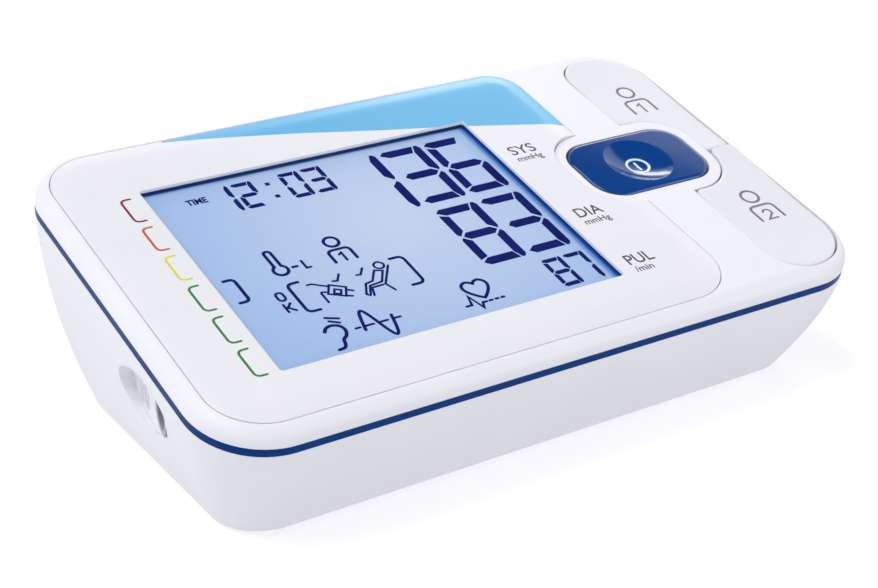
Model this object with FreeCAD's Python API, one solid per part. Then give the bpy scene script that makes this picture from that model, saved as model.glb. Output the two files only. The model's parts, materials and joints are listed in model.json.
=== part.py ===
"""Table-top blood pressure monitor for an upper-arm cuff, one STEP file for each piece.

Millimetres. +X is the user's right, +Y points away from the user, +Z is up. The origin is on the table under
the middle of the case. The display deck is tilted towards the user: what lies on it is drawn flat, with u
to the right, v up the slope and w along the deck's normal, and is then tilted into place. w is 0 on the top
of the face plate.
"""

import FreeCAD, Part
import math
import os

Vector = FreeCAD.Vector

# ---------------------------------------------------------------- case
case_width = 164.0  # over the trim band, left to right
case_depth = 100.6  # over the trim band, along the tilted deck
case_corner = 16.0
deck_tilt = 14.5  # degrees
band_height = 38.5  # middle of the trim band above the table, at the middle of the case
band_thickness = 1.9
band_recess = 0.05  # how far the band lies inside the shells' faces
wall = 2.4
shell_rise = 3.75  # upper shell above the trim band
shoulder = 3.6  # rounding of the upper shell's edge
base_width = 146.4
base_front = 35.7  # origin to the base's front edge
base_back = 41.0
base_corner = 11.0
base_rounding = 1.2
floor_thickness = 2.2
foot_drop = 0.8  # how far the feet stand out of the base
front_bow = 1.35  # 1 is a straight wall, more bows it outwards
back_bow = 2.0
wall_sections = 7
lip_height = 1.9  # inner lip above the trim band's middle, lines the shells up
lip_thickness = 1.0
fit_gap = 0.15  # between fixed pieces that slip into each other
closeness = 0.001  # what counts as touching when edges are picked

# ---------------------------------------------------------------- deck
plate_left_margin = 3.4  # trim band outline to the face plate
plate_right_margin = 37.4
plate_edge_margin = 3.35  # at the front and back
plate_corner = 12.0
plate_back_right_corner = 8.0
plate_thickness = 2.0
plate_rise = 0.8  # plate above the upper shell
plate_bevel = 5.5  # width of the plate's soft edge
window_width = 83.0
window_depth = 64.4
window_centre_u = -20.4
window_centre_v = -2.7
window_corner = 0.8
window_step = 0.7  # plate's top to the clear window
window_thickness = 0.8
window_rim = 1.5  # how far the window reaches under the plate
display_rim = 2.6  # how far the display glass reaches past the opening
display_thickness = 2.0
display_gap = 0.1
backlight_thickness = 3.0
contact_ledge = 3.0  # display glass beyond the backlight, for the contact strip
strip_thickness = 1.8
strip_length = 78.0
holder_wall = 1.2
holder_floor = 0.8
holder_leg_radius = 2.0
holder_leg_inset = 3.5

# ---------------------------------------------------------------- buttons
button_width = 32.8
button_depth = 21.4
button_corner = 7.0
button_right_margin = 13.1  # trim band outline to the start button
button_centre_v = 1.3
button_sink = 0.3  # crown of the start button below the face plate
button_crown = 500.0  # radius of the crown
button_rounding = 0.9
button_travel = 1.0
dimple_diameter = 17.0
dimple_depth = 2.0
land_side_width = 3.0  # plain land around the start button
land_edge_width = 3.8
land_corner = 11.0
key_width = 21.15
key_back_margin = 6.1  # trim band outline to the keys
key_front_margin = 3.2
key_divide = -0.9
key_corner = 7.5
key_outer_corner = 13.0
key_inner_corner = 1.4  # where the keys meet each other and the land
key_rounding = 0.7
key_travel = 0.8
key_slit = 0.6  # between the two keys
key_rear_rise = 0.2  # key's rear end above the face plate
key_sink = 1.2  # how far the key's hollow drops towards the user
key_sink_share = 0.7  # where along the key the hollow is deepest
key_switch_offset = 17.0  # user key switches from the divide
button_gap = 0.35
flange_width = 0.6
flange_thickness = 1.0
flange_gap = 0.1
post_radius = 1.5
switch_side = 6.0
switch_height = 3.4
switch_corner = 0.4
stem_radius = 1.75
stem_length = 2.9
stem_clearance = 0.1
stem_end_gap = 0.1  # left under the stem when a button is fully pressed
switch_inset = 9.9  # user key switches from the keys' left side
key_skin = 1.6  # thickness of a hollow button

# ---------------------------------------------------------------- board
board_thickness = 1.6
board_depth_below = 9.0  # plate top to board top
board_margin = 6.4  # trim band outline to the board's edge
board_boss_radius = 2.6
board_screw_radius = 1.1
board_screw_length = 5.0
board_head_radius = 2.4
board_head_height = 1.6
board_boss_side_inset = 11.0  # bosses from the trim band outline
board_boss_edge_inset = 12.8
board_boss_display_gap = 9.3  # display glass to the middle pair
board_boss_key_gap = 5.1  # keys to the right-hand pair
board_boss_key_lines = (24.0, -18.0)
chip_side = 12.0
chip_height = 1.4
chip_place = (-20.0, 8.0)
buzzer_radius = 6.0
buzzer_height = 4.0
buzzer_hole_radius = 1.0
buzzer_place = (14.0, -8.0)
capacitor_radius = 3.2
capacitor_height = 7.0
capacitor_place = (34.0, -8.0)

# ---------------------------------------------------------------- case screws
case_boss_left_inset = 13.2  # bosses from the base's sides
case_boss_back_inset = 4.5
case_boss_front_inset = 7.7
case_boss_key_gap = 7.1  # keys to the boss at the back right
case_boss_right_inset = 19.7  # front right boss from the base's side
case_boss_length = 14.0  # boss in the upper shell, below its ceiling
case_boss_radius = 3.2
case_screw_radius = 1.3
case_screw_length = 11.0
case_head_radius = 2.7
case_head_height = 2.0
case_seat = 2.0  # floor of the screw tube
case_tube_wall = 1.0
head_clearance = 0.3
shank_clearance = 0.3
boss_clearance = 0.4  # board around the case bosses

# ---------------------------------------------------------------- battery bay
cell_diameter = 14.2
cell_length = 50.3
cell_nub_radius = 2.7
cell_nub_length = 1.1
cell_pitch = 15.0
cell_edge = 0.8
bay_left = -60.0
bay_front = -30.6
bay_end_room = 6.6  # springs at the ends of a row
bay_side_room = 0.9
bay_wall = 1.2
bay_top_gap = 0.5
door_thickness = 1.8
door_corner = 0.6
door_gap = 0.3
door_overlap = 0.5  # door opening beyond the bay
cell_above_door = 0.4
hook_width = 8.0
hook_reach = 2.2
hook_thickness = 1.2
hook_gap = 0.3
hook_inset = 14.0  # outer hooks from the door's ends
tongue_width = 14.0
tongue_length = 5.5
tongue_thickness = 1.3
tongue_corner = 2.5
tongue_root = 0.5  # corner where the tongue leaves the door
notch_margin = 1.6
notch_depth = 2.0
notch_floor = 1.2
contact_thickness = 0.4
spring_wire_radius = 0.4
spring_turns = 3
spring_radius = 3.6
contact_width = 11.0
contact_tab = 3.0

# ---------------------------------------------------------------- air system
pump_left = -14.0
pump_centre_y = 18.6
pump_centre_z = 18.6
pump_head_radius = 13.4
pump_head_length = 26.0
motor_radius = 12.1
motor_length = 31.0
motor_end_radius = 4.0
motor_end_length = 1.6
mount_thickness = 1.9
mount_width = 6.0
saddle_width = 4.0
saddle_height = 14.0
nozzle_radius = 1.4
nozzle_bore = 0.8
nozzle_length = 4.0
tube_wall = 1.0
tube_bend = 4.0
tube_slip = 0.02  # tube's bore around a nozzle
manifold_inset = 27.0  # from the trim band outline
manifold_side = 8.0
manifold_height = 7.0
manifold_z = 10.5
manifold_end_room = 6.0  # block beyond its outer nozzles
pump_line_y = 12.0
socket_line_y = 8.0
valve_line_y = 22.0
sensor_line_y = 20.0
sensor_turn_z = 26.0  # where the sensor's tube leans into the deck's slope
valve_length = 17.0
valve_width = 13.0
valve_height = 12.0
valve_offset = 4.0  # towards the pump, from midway between it and the manifold
rest_side = 4.0  # posts under the valve and the manifold
sensor_side = 9.0
sensor_height = 4.5

# ---------------------------------------------------------------- cuff socket
socket_y = -18.0
socket_z = 23.0
socket_bore_radius = 3.0
socket_wall = 1.2
socket_bore_end_inset = 13.5  # from the trim band outline
socket_end_inset = 16.0
socket_seat_inset = 7.5  # flat inside of the wall that the seal sits on
socket_seat_room = 8.0  # cleared behind the seat
socket_flange_radius = 5.2
socket_flange_thickness = 1.2
seal_thickness = 0.9
scoop_y = -12.0
scoop_z = 23.8
scoop_half_length = 11.5
scoop_half_height = 6.4
scoop_depth = 3.3
scoop_deepest_y = 2.9  # where the floor would be deepest: it runs out towards the front
scoop_floor_radius = 97.0
scoop_backing = 1.9  # wall behind the scoop

# ---------------------------------------------------------------- power jack
jack_x = -46.0
jack_z = 14.0
jack_width = 9.0
jack_height = 10.5
jack_length = 10.0
jack_shoulder_inset = 4.1  # outside of the back wall to the jack's block
jack_barrel_radius = 4.2
jack_bore_radius = 2.8
jack_pin_radius = 1.0
jack_face_inset = 0.4
jack_bore_depth = 9.0

# ---------------------------------------------------------------- feet and leads
foot_radius = 4.0
foot_height = 1.6
foot_front_left = (6.6, 16.7)  # from the base's side and from its front or back edge
foot_front_right = (9.2, 13.7)
foot_back_inset = (7.2, 14.0)
lead_radius = 0.6
lead_spread = 6.0  # between the two leads of a pair
terminal_thickness = 0.8
terminal_width = 2.4
terminal_height = 3.0

# ---------------------------------------------------------------- heights that follow
band_half = band_thickness / 2
shell_top = -plate_rise  # w of the upper shell's top
plate_top_over_band = band_half + shell_rise + plate_rise
ceiling = shell_top - wall
board_top = -board_depth_below
board_bottom = board_top - board_thickness
window_top = -window_step
window_bottom = window_top - window_thickness
display_top = window_bottom - display_gap
display_bottom = display_top - display_thickness
backlight_bottom = display_bottom - backlight_thickness
holder_bottom = backlight_bottom - holder_floor
band_w = -plate_top_over_band  # w of the trim band's middle
base_z = foot_drop
floor_top = base_z + floor_thickness
case_half_u = case_width / 2
case_half_v = case_depth / 2
base_half = base_width / 2

# ---------------------------------------------------------------- places that follow
key_right = case_half_u - wall - button_gap  # keys lie along the inside of the wall
key_left = key_right - key_width
key_back = case_half_v - key_back_margin
key_front = key_front_margin - case_half_v
switch_u = key_left + switch_inset
button_centre_u = case_half_u - button_right_margin - button_width / 2
bay_length = 2 * cell_length + bay_end_room + 2 * contact_thickness
bay_depth = cell_pitch + cell_diameter + 2 * bay_side_room
bay_right = bay_left + bay_length
bay_back = bay_front + bay_depth
manifold_x = manifold_inset - case_half_u
valve_left = (manifold_x + manifold_side / 2 + pump_left - valve_length) / 2 + valve_offset
socket_place = (socket_y, socket_z)
socket_seat_x = socket_seat_inset - case_half_u
socket_bore_end_x = socket_bore_end_inset - case_half_u
socket_end_x = socket_end_inset - case_half_u
board_boss_left = board_boss_side_inset - case_half_u
board_boss_middle = window_centre_u + window_width / 2 + display_rim + board_boss_display_gap
board_boss_right = key_left - board_boss_key_gap
board_boss_back = case_half_v - board_boss_edge_inset
board_boss_places = (
    (board_boss_left, -board_boss_back),
    (board_boss_left, board_boss_back),
    (board_boss_middle, -board_boss_back),
    (board_boss_middle, board_boss_back),
    (board_boss_right, board_boss_key_lines[0]),
    (board_boss_right, board_boss_key_lines[1]),
)
case_boss_back = base_back - case_boss_back_inset
case_boss_places = (
    (case_boss_left_inset - base_half, case_boss_back),
    (key_left - case_boss_key_gap, case_boss_back),
    (base_half - case_boss_right_inset, case_boss_front_inset - base_front),
)
foot_places = (
    (foot_front_left[0] - base_half, foot_front_left[1] - base_front),
    (base_half - foot_front_right[0], foot_front_right[1] - base_front),
    (foot_back_inset[0] - base_half, base_back - foot_back_inset[1]),
    (base_half - foot_back_inset[0], base_back - foot_back_inset[1]),
)

# The deck's own frame stands on the middle of the trim band.
deck = FreeCAD.Placement(Vector(0, 0, band_height), FreeCAD.Rotation(Vector(1, 0, 0), deck_tilt))
tilt = math.radians(deck_tilt)


def on_deck(shape):
    """Tilt a shape drawn in u, v, w into the case."""
    placed = shape.copy()
    placed.translate(Vector(0, 0, plate_top_over_band))
    placed.Placement = deck.multiply(placed.Placement)
    return placed


def deck_point(u, v, w):
    """World place of a point of the deck's frame."""
    return deck.multVec(Vector(u, v, w + plate_top_over_band))


def deck_height(y, w):
    """World height of the deck's plane w at a world y."""
    return band_height + y * math.tan(tilt) + (w + plate_top_over_band) / math.cos(tilt)


# ---------------------------------------------------------------- outlines
def outline(left, right, front, back, radii, level=0.0):
    """Closed rectangle with rounded corners: radii go front left, front right, back right, back left."""
    corners = ((left, front), (right, front), (right, back), (left, back))
    steps = ((1, 1), (-1, 1), (-1, -1), (1, -1))
    diagonal = 1 - math.sqrt(0.5)
    pairs = []
    for index, ((x, y), (sx, sy), r) in enumerate(zip(corners, steps, radii)):
        across = Vector(x + sx * r, y, level)
        along = Vector(x, y + sy * r, level)
        middle = Vector(x + sx * r * diagonal, y + sy * r * diagonal, level)
        pairs.append((along, middle, across) if index % 2 == 0 else (across, middle, along))
    edges = []
    for index, (start, middle, end) in enumerate(pairs):
        edges.append(Part.Arc(start, middle, end).toShape())
        following = pairs[(index + 1) % 4][0]
        edges.append(Part.makeLine(end, following))
    return Part.Wire(edges)


def slab(wire, low, high):
    """Solid between two levels over a flat outline drawn at level 0."""
    solid = Part.Face(wire).extrude(Vector(0, 0, high - low))
    solid.translate(Vector(0, 0, low))
    return solid


def case_outline(inset):
    radius = case_corner - inset
    u = case_half_u - inset
    v = case_half_v - inset
    return outline(-u, u, -v, v, (radius,) * 4)


def centred_outline(centre_u, centre_v, width, depth, radius):
    half_u = width / 2
    half_v = depth / 2
    sides = (centre_u - half_u, centre_u + half_u, centre_v - half_v, centre_v + half_v)
    return outline(*sides, (radius,) * 4)


def window_outline(grow):
    width = window_width + 2 * grow
    depth = window_depth + 2 * grow
    return centred_outline(window_centre_u, window_centre_v, width, depth, window_corner)


def button_outline(grow):
    width = button_width + 2 * grow
    depth = button_depth + 2 * grow
    return centred_outline(button_centre_u, button_centre_v, width, depth, button_corner + grow)


def land_outline(grow):
    width = button_width + 2 * (land_side_width + grow)
    depth = button_depth + 2 * (land_edge_width + grow)
    return centred_outline(button_centre_u, button_centre_v, width, depth, land_corner + grow)


def plate_outline(grow):
    left = -case_half_u + plate_left_margin - grow
    right = case_half_u - plate_right_margin + grow
    half = case_half_v - plate_edge_margin + grow
    soft = plate_corner + grow
    return outline(left, right, -half, half, (soft, soft, plate_back_right_corner + grow, soft))


def keys_outline(grow):
    inner = key_corner + grow
    outer = key_outer_corner + grow
    sides = (key_left - grow, key_right + grow, key_front - grow, key_back + grow)
    return outline(*sides, (inner, outer, outer, inner))


def cylinder(radius, length, base, direction=Vector(0, 0, 1)):
    return Part.makeCylinder(radius, length, base, direction)


def box(low, high):
    """Box between two opposite corners."""
    low = Vector(*low)
    high = Vector(*high)
    size = high.sub(low)
    return Part.makeBox(size.x, size.y, size.z, low)


def below_deck(w):
    """Everything under the deck's plane w, as a large block."""
    reach = 2 * case_width
    return on_deck(box((-reach, -reach, w - reach), (reach, reach, w)))


# ---------------------------------------------------------------- lower shell's walls
def wall_section(share, inset):
    """Rounded outline of the lower shell: share is 0 at the trim band and 1 at the base."""
    bow = share**back_bow
    front_share = bow ** (1 / front_bow)
    top_front = deck_point(0, -case_half_v, band_w - band_half)
    top_back = deck_point(0, case_half_v, band_w - band_half)
    front_y = top_front.y + (-base_front - top_front.y) * bow
    back_y = top_back.y + (base_back - top_back.y) * bow
    front_z = top_front.z + (base_z - top_front.z) * front_share
    back_z = top_back.z + (base_z - top_back.z) * share
    half = case_half_u + (base_half - case_half_u) * bow - inset
    radius = case_corner + (base_corner - case_corner) * bow - inset
    slope = math.atan2(back_z - front_z, back_y - front_y)
    run = math.hypot(back_y - front_y, back_z - front_z)
    wire = outline(-half, half, inset, run - inset, (radius,) * 4)
    turn = FreeCAD.Rotation(Vector(1, 0, 0), math.degrees(slope))
    wire.Placement = FreeCAD.Placement(Vector(0, front_y, front_z), turn)
    return wire


def walls(inset):
    sections = [wall_section(index / (wall_sections - 1), inset) for index in range(wall_sections)]
    return Part.makeLoft(sections, True, False)


def scoop(grow):
    """Oval hollow for the fingertips around the cuff socket, with a floor that runs out towards the front."""
    half_width = case_half_u + (base_half - case_half_u) * scoop_bow()
    deepest = scoop_depth + grow - half_width
    middle = Vector(deepest, scoop_y, scoop_z)
    back = middle.add(Vector(0, scoop_half_length + grow, 0))
    top = middle.add(Vector(0, 0, scoop_half_height + grow))
    oval = Part.Face(Part.Wire(Part.Ellipse(back, top, middle).toShape()))
    low = Vector(deepest - scoop_floor_radius, scoop_deepest_y, 0)
    return oval.extrude(Vector(-case_width, 0, 0)).common(cylinder(scoop_floor_radius, case_width, low))


def scoop_bow():
    """How far in the side wall is at the scoop, from 0 at the trim band to 1 at the base."""
    top = deck_height(scoop_y, band_w - band_half)
    return (1 - scoop_z / top) ** ((front_bow + back_bow) / 2)


def door_sides(grow):
    """Left, right, front and back of the battery door's opening."""
    reach = door_overlap + grow
    return bay_left - reach, bay_right + reach, bay_front - reach, bay_back + reach


def bay_middle():
    return bay_left + bay_length / 2


def cell_centre_z():
    return base_z + door_thickness + cell_above_door + cell_diameter / 2


def bay_top():
    return cell_centre_z() + cell_diameter / 2 + bay_top_gap


def cell_rows():
    middle = bay_front + bay_depth / 2
    return (middle - cell_pitch / 2, middle + cell_pitch / 2)


def hook_places():
    left, right, _, _ = door_sides(0)
    return (left + hook_inset, (left + right) / 2, right - hook_inset)


def pump_mounts():
    """Place along X and inner radius of the two rubber mounts."""
    head_mount = pump_left + pump_head_length / 3
    motor_mount = pump_left + pump_head_length + motor_length * 0.75
    return (head_mount, pump_head_radius), (motor_mount, motor_radius)


def rest_places():
    """Posts under the valve and the manifold: x, y and top."""
    valve_bottom = manifold_z - valve_height / 2
    manifold_bottom = manifold_z - manifold_height / 2
    inset = rest_side / 2
    return (
        (valve_left + inset, valve_line_y, valve_bottom),
        (valve_left + valve_length - inset, valve_line_y, valve_bottom),
        (manifold_x, pump_line_y, manifold_bottom),
        (manifold_x, valve_line_y, manifold_bottom),
    )


def back_wall_y(z):
    """Outside of the back wall at a height."""
    top = deck_point(0, case_half_v, band_w - band_half)
    bow = ((top.z - z) / (top.z - base_z)) ** back_bow
    return top.y + (base_back - top.y) * bow


def jack_shoulder_y():
    """Back of the jack's block, behind the wall."""
    return back_wall_y(jack_z) - jack_shoulder_inset


def jack_face_y():
    return back_wall_y(jack_z) - jack_face_inset


def case_boss_bottom(y):
    return deck_height(y, ceiling) - case_boss_length


def shell_body():
    """Outside of the lower shell, filled solid, with its base edge rounded."""
    body = walls(0)
    return body.makeFillet(base_rounding, level_edges(body, base_z))


def bay_block():
    """Walls and roof of the battery bay, before it is hollowed."""
    return box(
        (bay_left - bay_wall, bay_front - bay_wall, base_z),
        (bay_right + bay_wall, bay_back + bay_wall, bay_top() + bay_wall),
    )


def notch_sides():
    """Left, right, front and back of the fingertip notch behind the battery door."""
    half = tongue_width / 2 + notch_margin
    back_edge = door_sides(0)[3]
    return bay_middle() - half, bay_middle() + half, back_edge, back_edge + tongue_length + notch_margin


def notch_block():
    left, right, front, back = notch_sides()
    top = base_z + notch_depth + notch_floor
    return box((left - bay_wall, front, base_z), (right + bay_wall, back + bay_wall, top))


def screw_tube(x, y):
    radius = case_head_radius + head_clearance + case_tube_wall
    return cylinder(radius, case_boss_bottom(y) - base_z, Vector(x, y, base_z))


def pump_saddle(x):
    reach = pump_head_radius + mount_thickness + wall
    half = saddle_width / 2
    low = (x - half, pump_centre_y - reach, base_z)
    return box(low, (x + half, pump_centre_y + reach, base_z + saddle_height))


def rest_post(x, y, top):
    half = rest_side / 2
    return box((x - half, y - half, base_z), (x + half, y + half, top))


def shell_lip():
    inner = wall + fit_gap + lip_thickness
    low = band_w - 2 * wall
    lip = slab(case_outline(wall + fit_gap), low, band_w + lip_height)
    root = slab(case_outline(wall / 2), low, band_w - band_half)
    hole = slab(case_outline(inner), low - wall, band_w + 2 * lip_height)
    return on_deck(lip.fuse(root).cut(hole))


def socket_seat():
    return along_x(socket_flange_radius, socket_seat_x + case_half_u, -case_half_u, *socket_place)


def lower_shell():
    body = shell_body()
    floor_block = box((-case_width, -case_depth, -wall), (case_width, case_depth, floor_top))
    shell = body.cut(walls(wall).cut(floor_block))
    additions = [bay_block(), notch_block(), scoop(scoop_backing), socket_seat()]
    additions += [screw_tube(x, y) for x, y in case_boss_places]
    additions += [pump_saddle(x) for x, _ in pump_mounts()]
    additions += [rest_post(x, y, top) for x, y, top in rest_places()]
    for solid in additions:
        shell = shell.fuse(solid.common(body))
    shell = shell.fuse(shell_lip())
    for solid in lower_shell_cuts():
        shell = shell.cut(solid)
    return shell


def lower_shell_cuts():
    left, right, front, back = door_sides(0)
    notch_left, notch_right, _, notch_back = notch_sides()
    notch_top = base_z + notch_depth
    cuts = [
        box((bay_left, bay_front, base_z), (bay_right, bay_back, bay_top())),
        box((left, front, -wall), (right, back, base_z + door_thickness + fit_gap)),
        box((notch_left, bay_back - bay_wall, -wall), (notch_right, notch_back, notch_top)),
        scoop(0),
    ]
    for x in hook_places():
        half = hook_width / 2 + door_gap
        slot_front = front - hook_reach - hook_gap
        cuts.append(box((x - half, slot_front, floor_top), (x + half, bay_front, hook_swing_top())))
        cuts.append(box((x - half, front, base_z), (x + half, bay_front, floor_top)))
    for y in cell_rows():
        half = contact_width / 2 + fit_gap
        slot_left = bay_right - contact_thickness - fit_gap
        cuts.append(box((slot_left, y - half, bay_top()), (bay_right, y + half, bay_top() + 2 * bay_wall)))
    key_path_low = flange_bottom - key_travel - fit_gap
    cuts.append(on_deck(slab(keys_outline(flange_width + fit_gap), key_path_low, 0)))
    for x, y in case_boss_places:
        seat = case_boss_bottom(y) - case_seat
        cuts.append(cylinder(case_head_radius + head_clearance, seat + wall, Vector(x, y, -wall)))
        cuts.append(cylinder(case_screw_radius + shank_clearance, seat + 2 * case_seat, Vector(x, y, 0)))
    for x, radius in pump_mounts():
        pump_axis = (pump_centre_y, pump_centre_z)
        cuts.append(along_x(radius + mount_thickness, 2 * saddle_width, x - saddle_width, *pump_axis))
    hole = socket_bore_radius + socket_wall + fit_gap
    cuts.append(along_x(hole, socket_seat_x + wall + case_half_u, -case_half_u, *socket_place))
    cuts.append(along_x(socket_flange_radius + fit_gap, socket_seat_room, socket_seat_x, *socket_place))
    jack_start = Vector(jack_x, jack_shoulder_y(), jack_z)
    cuts.append(cylinder(jack_barrel_radius + fit_gap, jack_length, jack_start, Vector(0, 1, 0)))
    cuts += [cylinder(foot_radius, foot_height, Vector(x, y, 0)) for x, y in foot_places]
    return cuts


def hook_swing_top():
    """Height that the door's hooks reach when the door swings open."""
    hook_top = hook_bottom() + hook_thickness - base_z
    return base_z + math.hypot(hook_reach + door_gap, hook_top) + hook_gap


def hook_bottom():
    return floor_top + hook_gap


def battery_door():
    left, right, front, back = door_sides(-door_gap)
    top = base_z + door_thickness
    plate = box((left, front, base_z), (right, back, top))
    door = plate.makeFillet(door_corner, upright_edges(plate))
    half = tongue_width / 2
    sides = (bay_middle() - half, bay_middle() + half, back - bay_wall, back + tongue_length)
    tongue = outline(*sides, (tongue_root, tongue_root, tongue_corner, tongue_corner))
    pieces = [slab(tongue, base_z, base_z + tongue_thickness)]
    neck_back = front + hook_thickness
    for x in hook_places():
        low = (x - hook_width / 2, front, top - hook_thickness / 2)
        pieces.append(box(low, (x + hook_width / 2, neck_back, hook_bottom() + hook_thickness)))
        tip = front - hook_reach + door_gap
        pieces.append(
            box(
                (x - hook_width / 2, tip, hook_bottom()),
                (x + hook_width / 2, neck_back, hook_bottom() + hook_thickness),
            )
        )
    return door.fuse(pieces).removeSplitter()


# ---------------------------------------------------------------- shells and deck pieces
def trim_band():
    band = slab(case_outline(band_recess), band_w - band_half, band_w + band_half)
    hole = slab(case_outline(wall), band_w - band_thickness, band_w + band_thickness)
    return on_deck(band.cut(hole))


def level_edges(shape, level):
    return [edge for edge in shape.Edges if all(abs(point.Z - level) < closeness for point in edge.Vertexes)]


def upright_edges(shape):
    """Edges that run straight up."""
    return [
        edge
        for edge in shape.Edges
        if edge.BoundBox.XLength < closeness and edge.BoundBox.YLength < closeness
    ]


def through(wire):
    """Cutter through the upper shell's deck."""
    return slab(wire, ceiling - wall, plate_rise + wall)


def upper_shell():
    low = band_w + band_half
    shell = slab(case_outline(0), low, shell_top)
    shell = shell.makeFillet(shoulder, level_edges(shell, shell_top))
    shell = shell.cut(slab(case_outline(wall), low - wall, ceiling))
    recess = slab(plate_outline(fit_gap), -plate_thickness, plate_rise)
    shell = shell.cut(recess.cut(through(land_outline(0))))
    shell = shell.cut(through(window_outline(display_rim + fit_gap)))
    shell = shell.cut(through(button_outline(button_gap)))
    shell = shell.cut(through(keys_outline(button_gap)).cut(through(land_outline(0))))
    for u, v in board_boss_places:
        boss = cylinder(board_boss_radius, ceiling - board_top + fit_gap, Vector(u, v, board_top))
        pilot = cylinder(board_screw_radius, board_screw_length - board_thickness, Vector(u, v, board_top))
        shell = shell.fuse(boss).cut(pilot)
    shell = on_deck(shell)
    limit = below_deck(ceiling + fit_gap)
    for x, y in case_boss_places:
        bottom = Vector(x, y, case_boss_bottom(y))
        boss = cylinder(case_boss_radius, case_boss_length + 2 * wall, bottom).common(limit)
        shell = shell.fuse(boss).cut(cylinder(case_screw_radius, case_screw_length - case_seat, bottom))
    return shell.removeSplitter()


def plate_crown():
    """Soft edge of the face plate: rings that climb an arc from the seam to the flat top."""
    radius = (plate_bevel**2 + plate_rise**2) / (2 * plate_rise)
    steps = 5
    rings = []
    for step in range(steps + 1):
        inset = plate_bevel * step / steps
        ring = plate_outline(-inset)
        ring.translate(Vector(0, 0, math.sqrt(radius**2 - (plate_bevel - inset) ** 2) - radius))
        rings.append(ring)
    return Part.makeLoft(rings, True, False)


def face_plate():
    plate = slab(plate_outline(0), -plate_thickness, -plate_rise).fuse(plate_crown())
    plate = plate.cut(through(land_outline(fit_gap)))
    plate = plate.cut(through(window_outline(0)))
    rebate_low = -plate_thickness - wall
    plate = plate.cut(slab(window_outline(window_rim + fit_gap), rebate_low, window_top))
    glass_room = slab(window_outline(display_rim + fit_gap), rebate_low, window_bottom)
    return on_deck(plate.cut(glass_room).removeSplitter())


def window_lens():
    return on_deck(slab(window_outline(window_rim), window_bottom, window_top))


def display_glass():
    return on_deck(slab(window_outline(display_rim), display_bottom, display_top))


def display_sides(grow):
    u = window_centre_u
    v = window_centre_v
    half_u = window_width / 2 + display_rim + grow
    half_v = window_depth / 2 + display_rim + grow
    return u - half_u, u + half_u, v - half_v, v + half_v


def backlight():
    left, right, front, back = display_sides(0)
    return on_deck(box((left, front, backlight_bottom), (right, back - contact_ledge, display_bottom)))


def strip_sides(grow):
    back = display_sides(0)[3]
    middle = back - contact_ledge / 2
    half_u = strip_length / 2 + grow
    half_v = strip_thickness / 2 + grow
    return window_centre_u - half_u, window_centre_u + half_u, middle - half_v, middle + half_v


def contact_strip():
    left, right, front, back = strip_sides(0)
    return on_deck(box((left, front, board_top), (right, back, display_bottom)))


def display_holder():
    left, right, front, back = display_sides(fit_gap)
    outer = display_sides(fit_gap + holder_wall)
    holder = box((outer[0], outer[2], holder_bottom), (outer[1], outer[3], ceiling - flange_gap))
    holder = holder.cut(box((left, front, backlight_bottom), (right, back, ceiling + wall)))
    slot = strip_sides(fit_gap)
    holder = holder.cut(box((slot[0], slot[2], holder_bottom - wall), (slot[1], slot[3], ceiling)))
    for u in (left + holder_leg_inset, right - holder_leg_inset):
        for v in (front + holder_leg_inset, back - 2 * holder_leg_inset):
            leg = cylinder(holder_leg_radius, holder_bottom - board_top + fit_gap, Vector(u, v, board_top))
            holder = holder.fuse(leg)
    return on_deck(holder.removeSplitter())


# ---------------------------------------------------------------- buttons
flange_top = ceiling - flange_gap
flange_bottom = flange_top - flange_thickness
stem_bottom = board_top + button_travel + stem_end_gap
stem_top = stem_bottom + stem_length


def hollow_and_post(shape, inner, skin_level, u, v):
    """Hollow a button from below and give it the post that presses its switch."""
    shape = shape.cut(slab(inner, flange_bottom - wall, skin_level))
    return shape.fuse(cylinder(post_radius, skin_level + fit_gap - stem_top, Vector(u, v, stem_top)))


def start_button():
    body = slab(button_outline(0), flange_bottom, -button_sink)
    crown_centre = Vector(button_centre_u, button_centre_v, -button_sink - button_crown)
    body = body.common(Part.makeSphere(button_crown, crown_centre))
    crown = [face for face in body.Faces if isinstance(face.Surface, Part.Sphere)][0]
    body = body.makeFillet(button_rounding, crown.Edges)
    dimple_radius = ((dimple_diameter / 2) ** 2 + dimple_depth**2) / (2 * dimple_depth)
    dimple_bottom = -button_sink - dimple_depth
    dimple_centre = Vector(button_centre_u, button_centre_v, dimple_bottom + dimple_radius)
    body = body.cut(Part.makeSphere(dimple_radius, dimple_centre))
    body = body.fuse(slab(button_outline(flange_width), flange_bottom, flange_top))
    skin_level = dimple_bottom - key_skin
    body = hollow_and_post(body, button_outline(-key_skin), skin_level, button_centre_u, button_centre_v)
    return on_deck(body.removeSplitter())


def key_sides(number):
    if number == 1:
        return key_divide + key_slit / 2, key_back
    return key_front, key_divide - key_slit / 2


def key_blank(number, grow):
    """Plan of one user key, grown at its outer sides only."""
    front, back = key_sides(number)
    inner = key_corner + grow
    outer = key_outer_corner + grow
    if number == 1:
        sides = (key_left - grow, key_right + grow, front, back + grow)
        return outline(*sides, (key_inner_corner, key_inner_corner, outer, inner))
    sides = (key_left - grow, key_right + grow, front - grow, back)
    return outline(*sides, (inner, outer, key_inner_corner, key_inner_corner))


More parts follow.
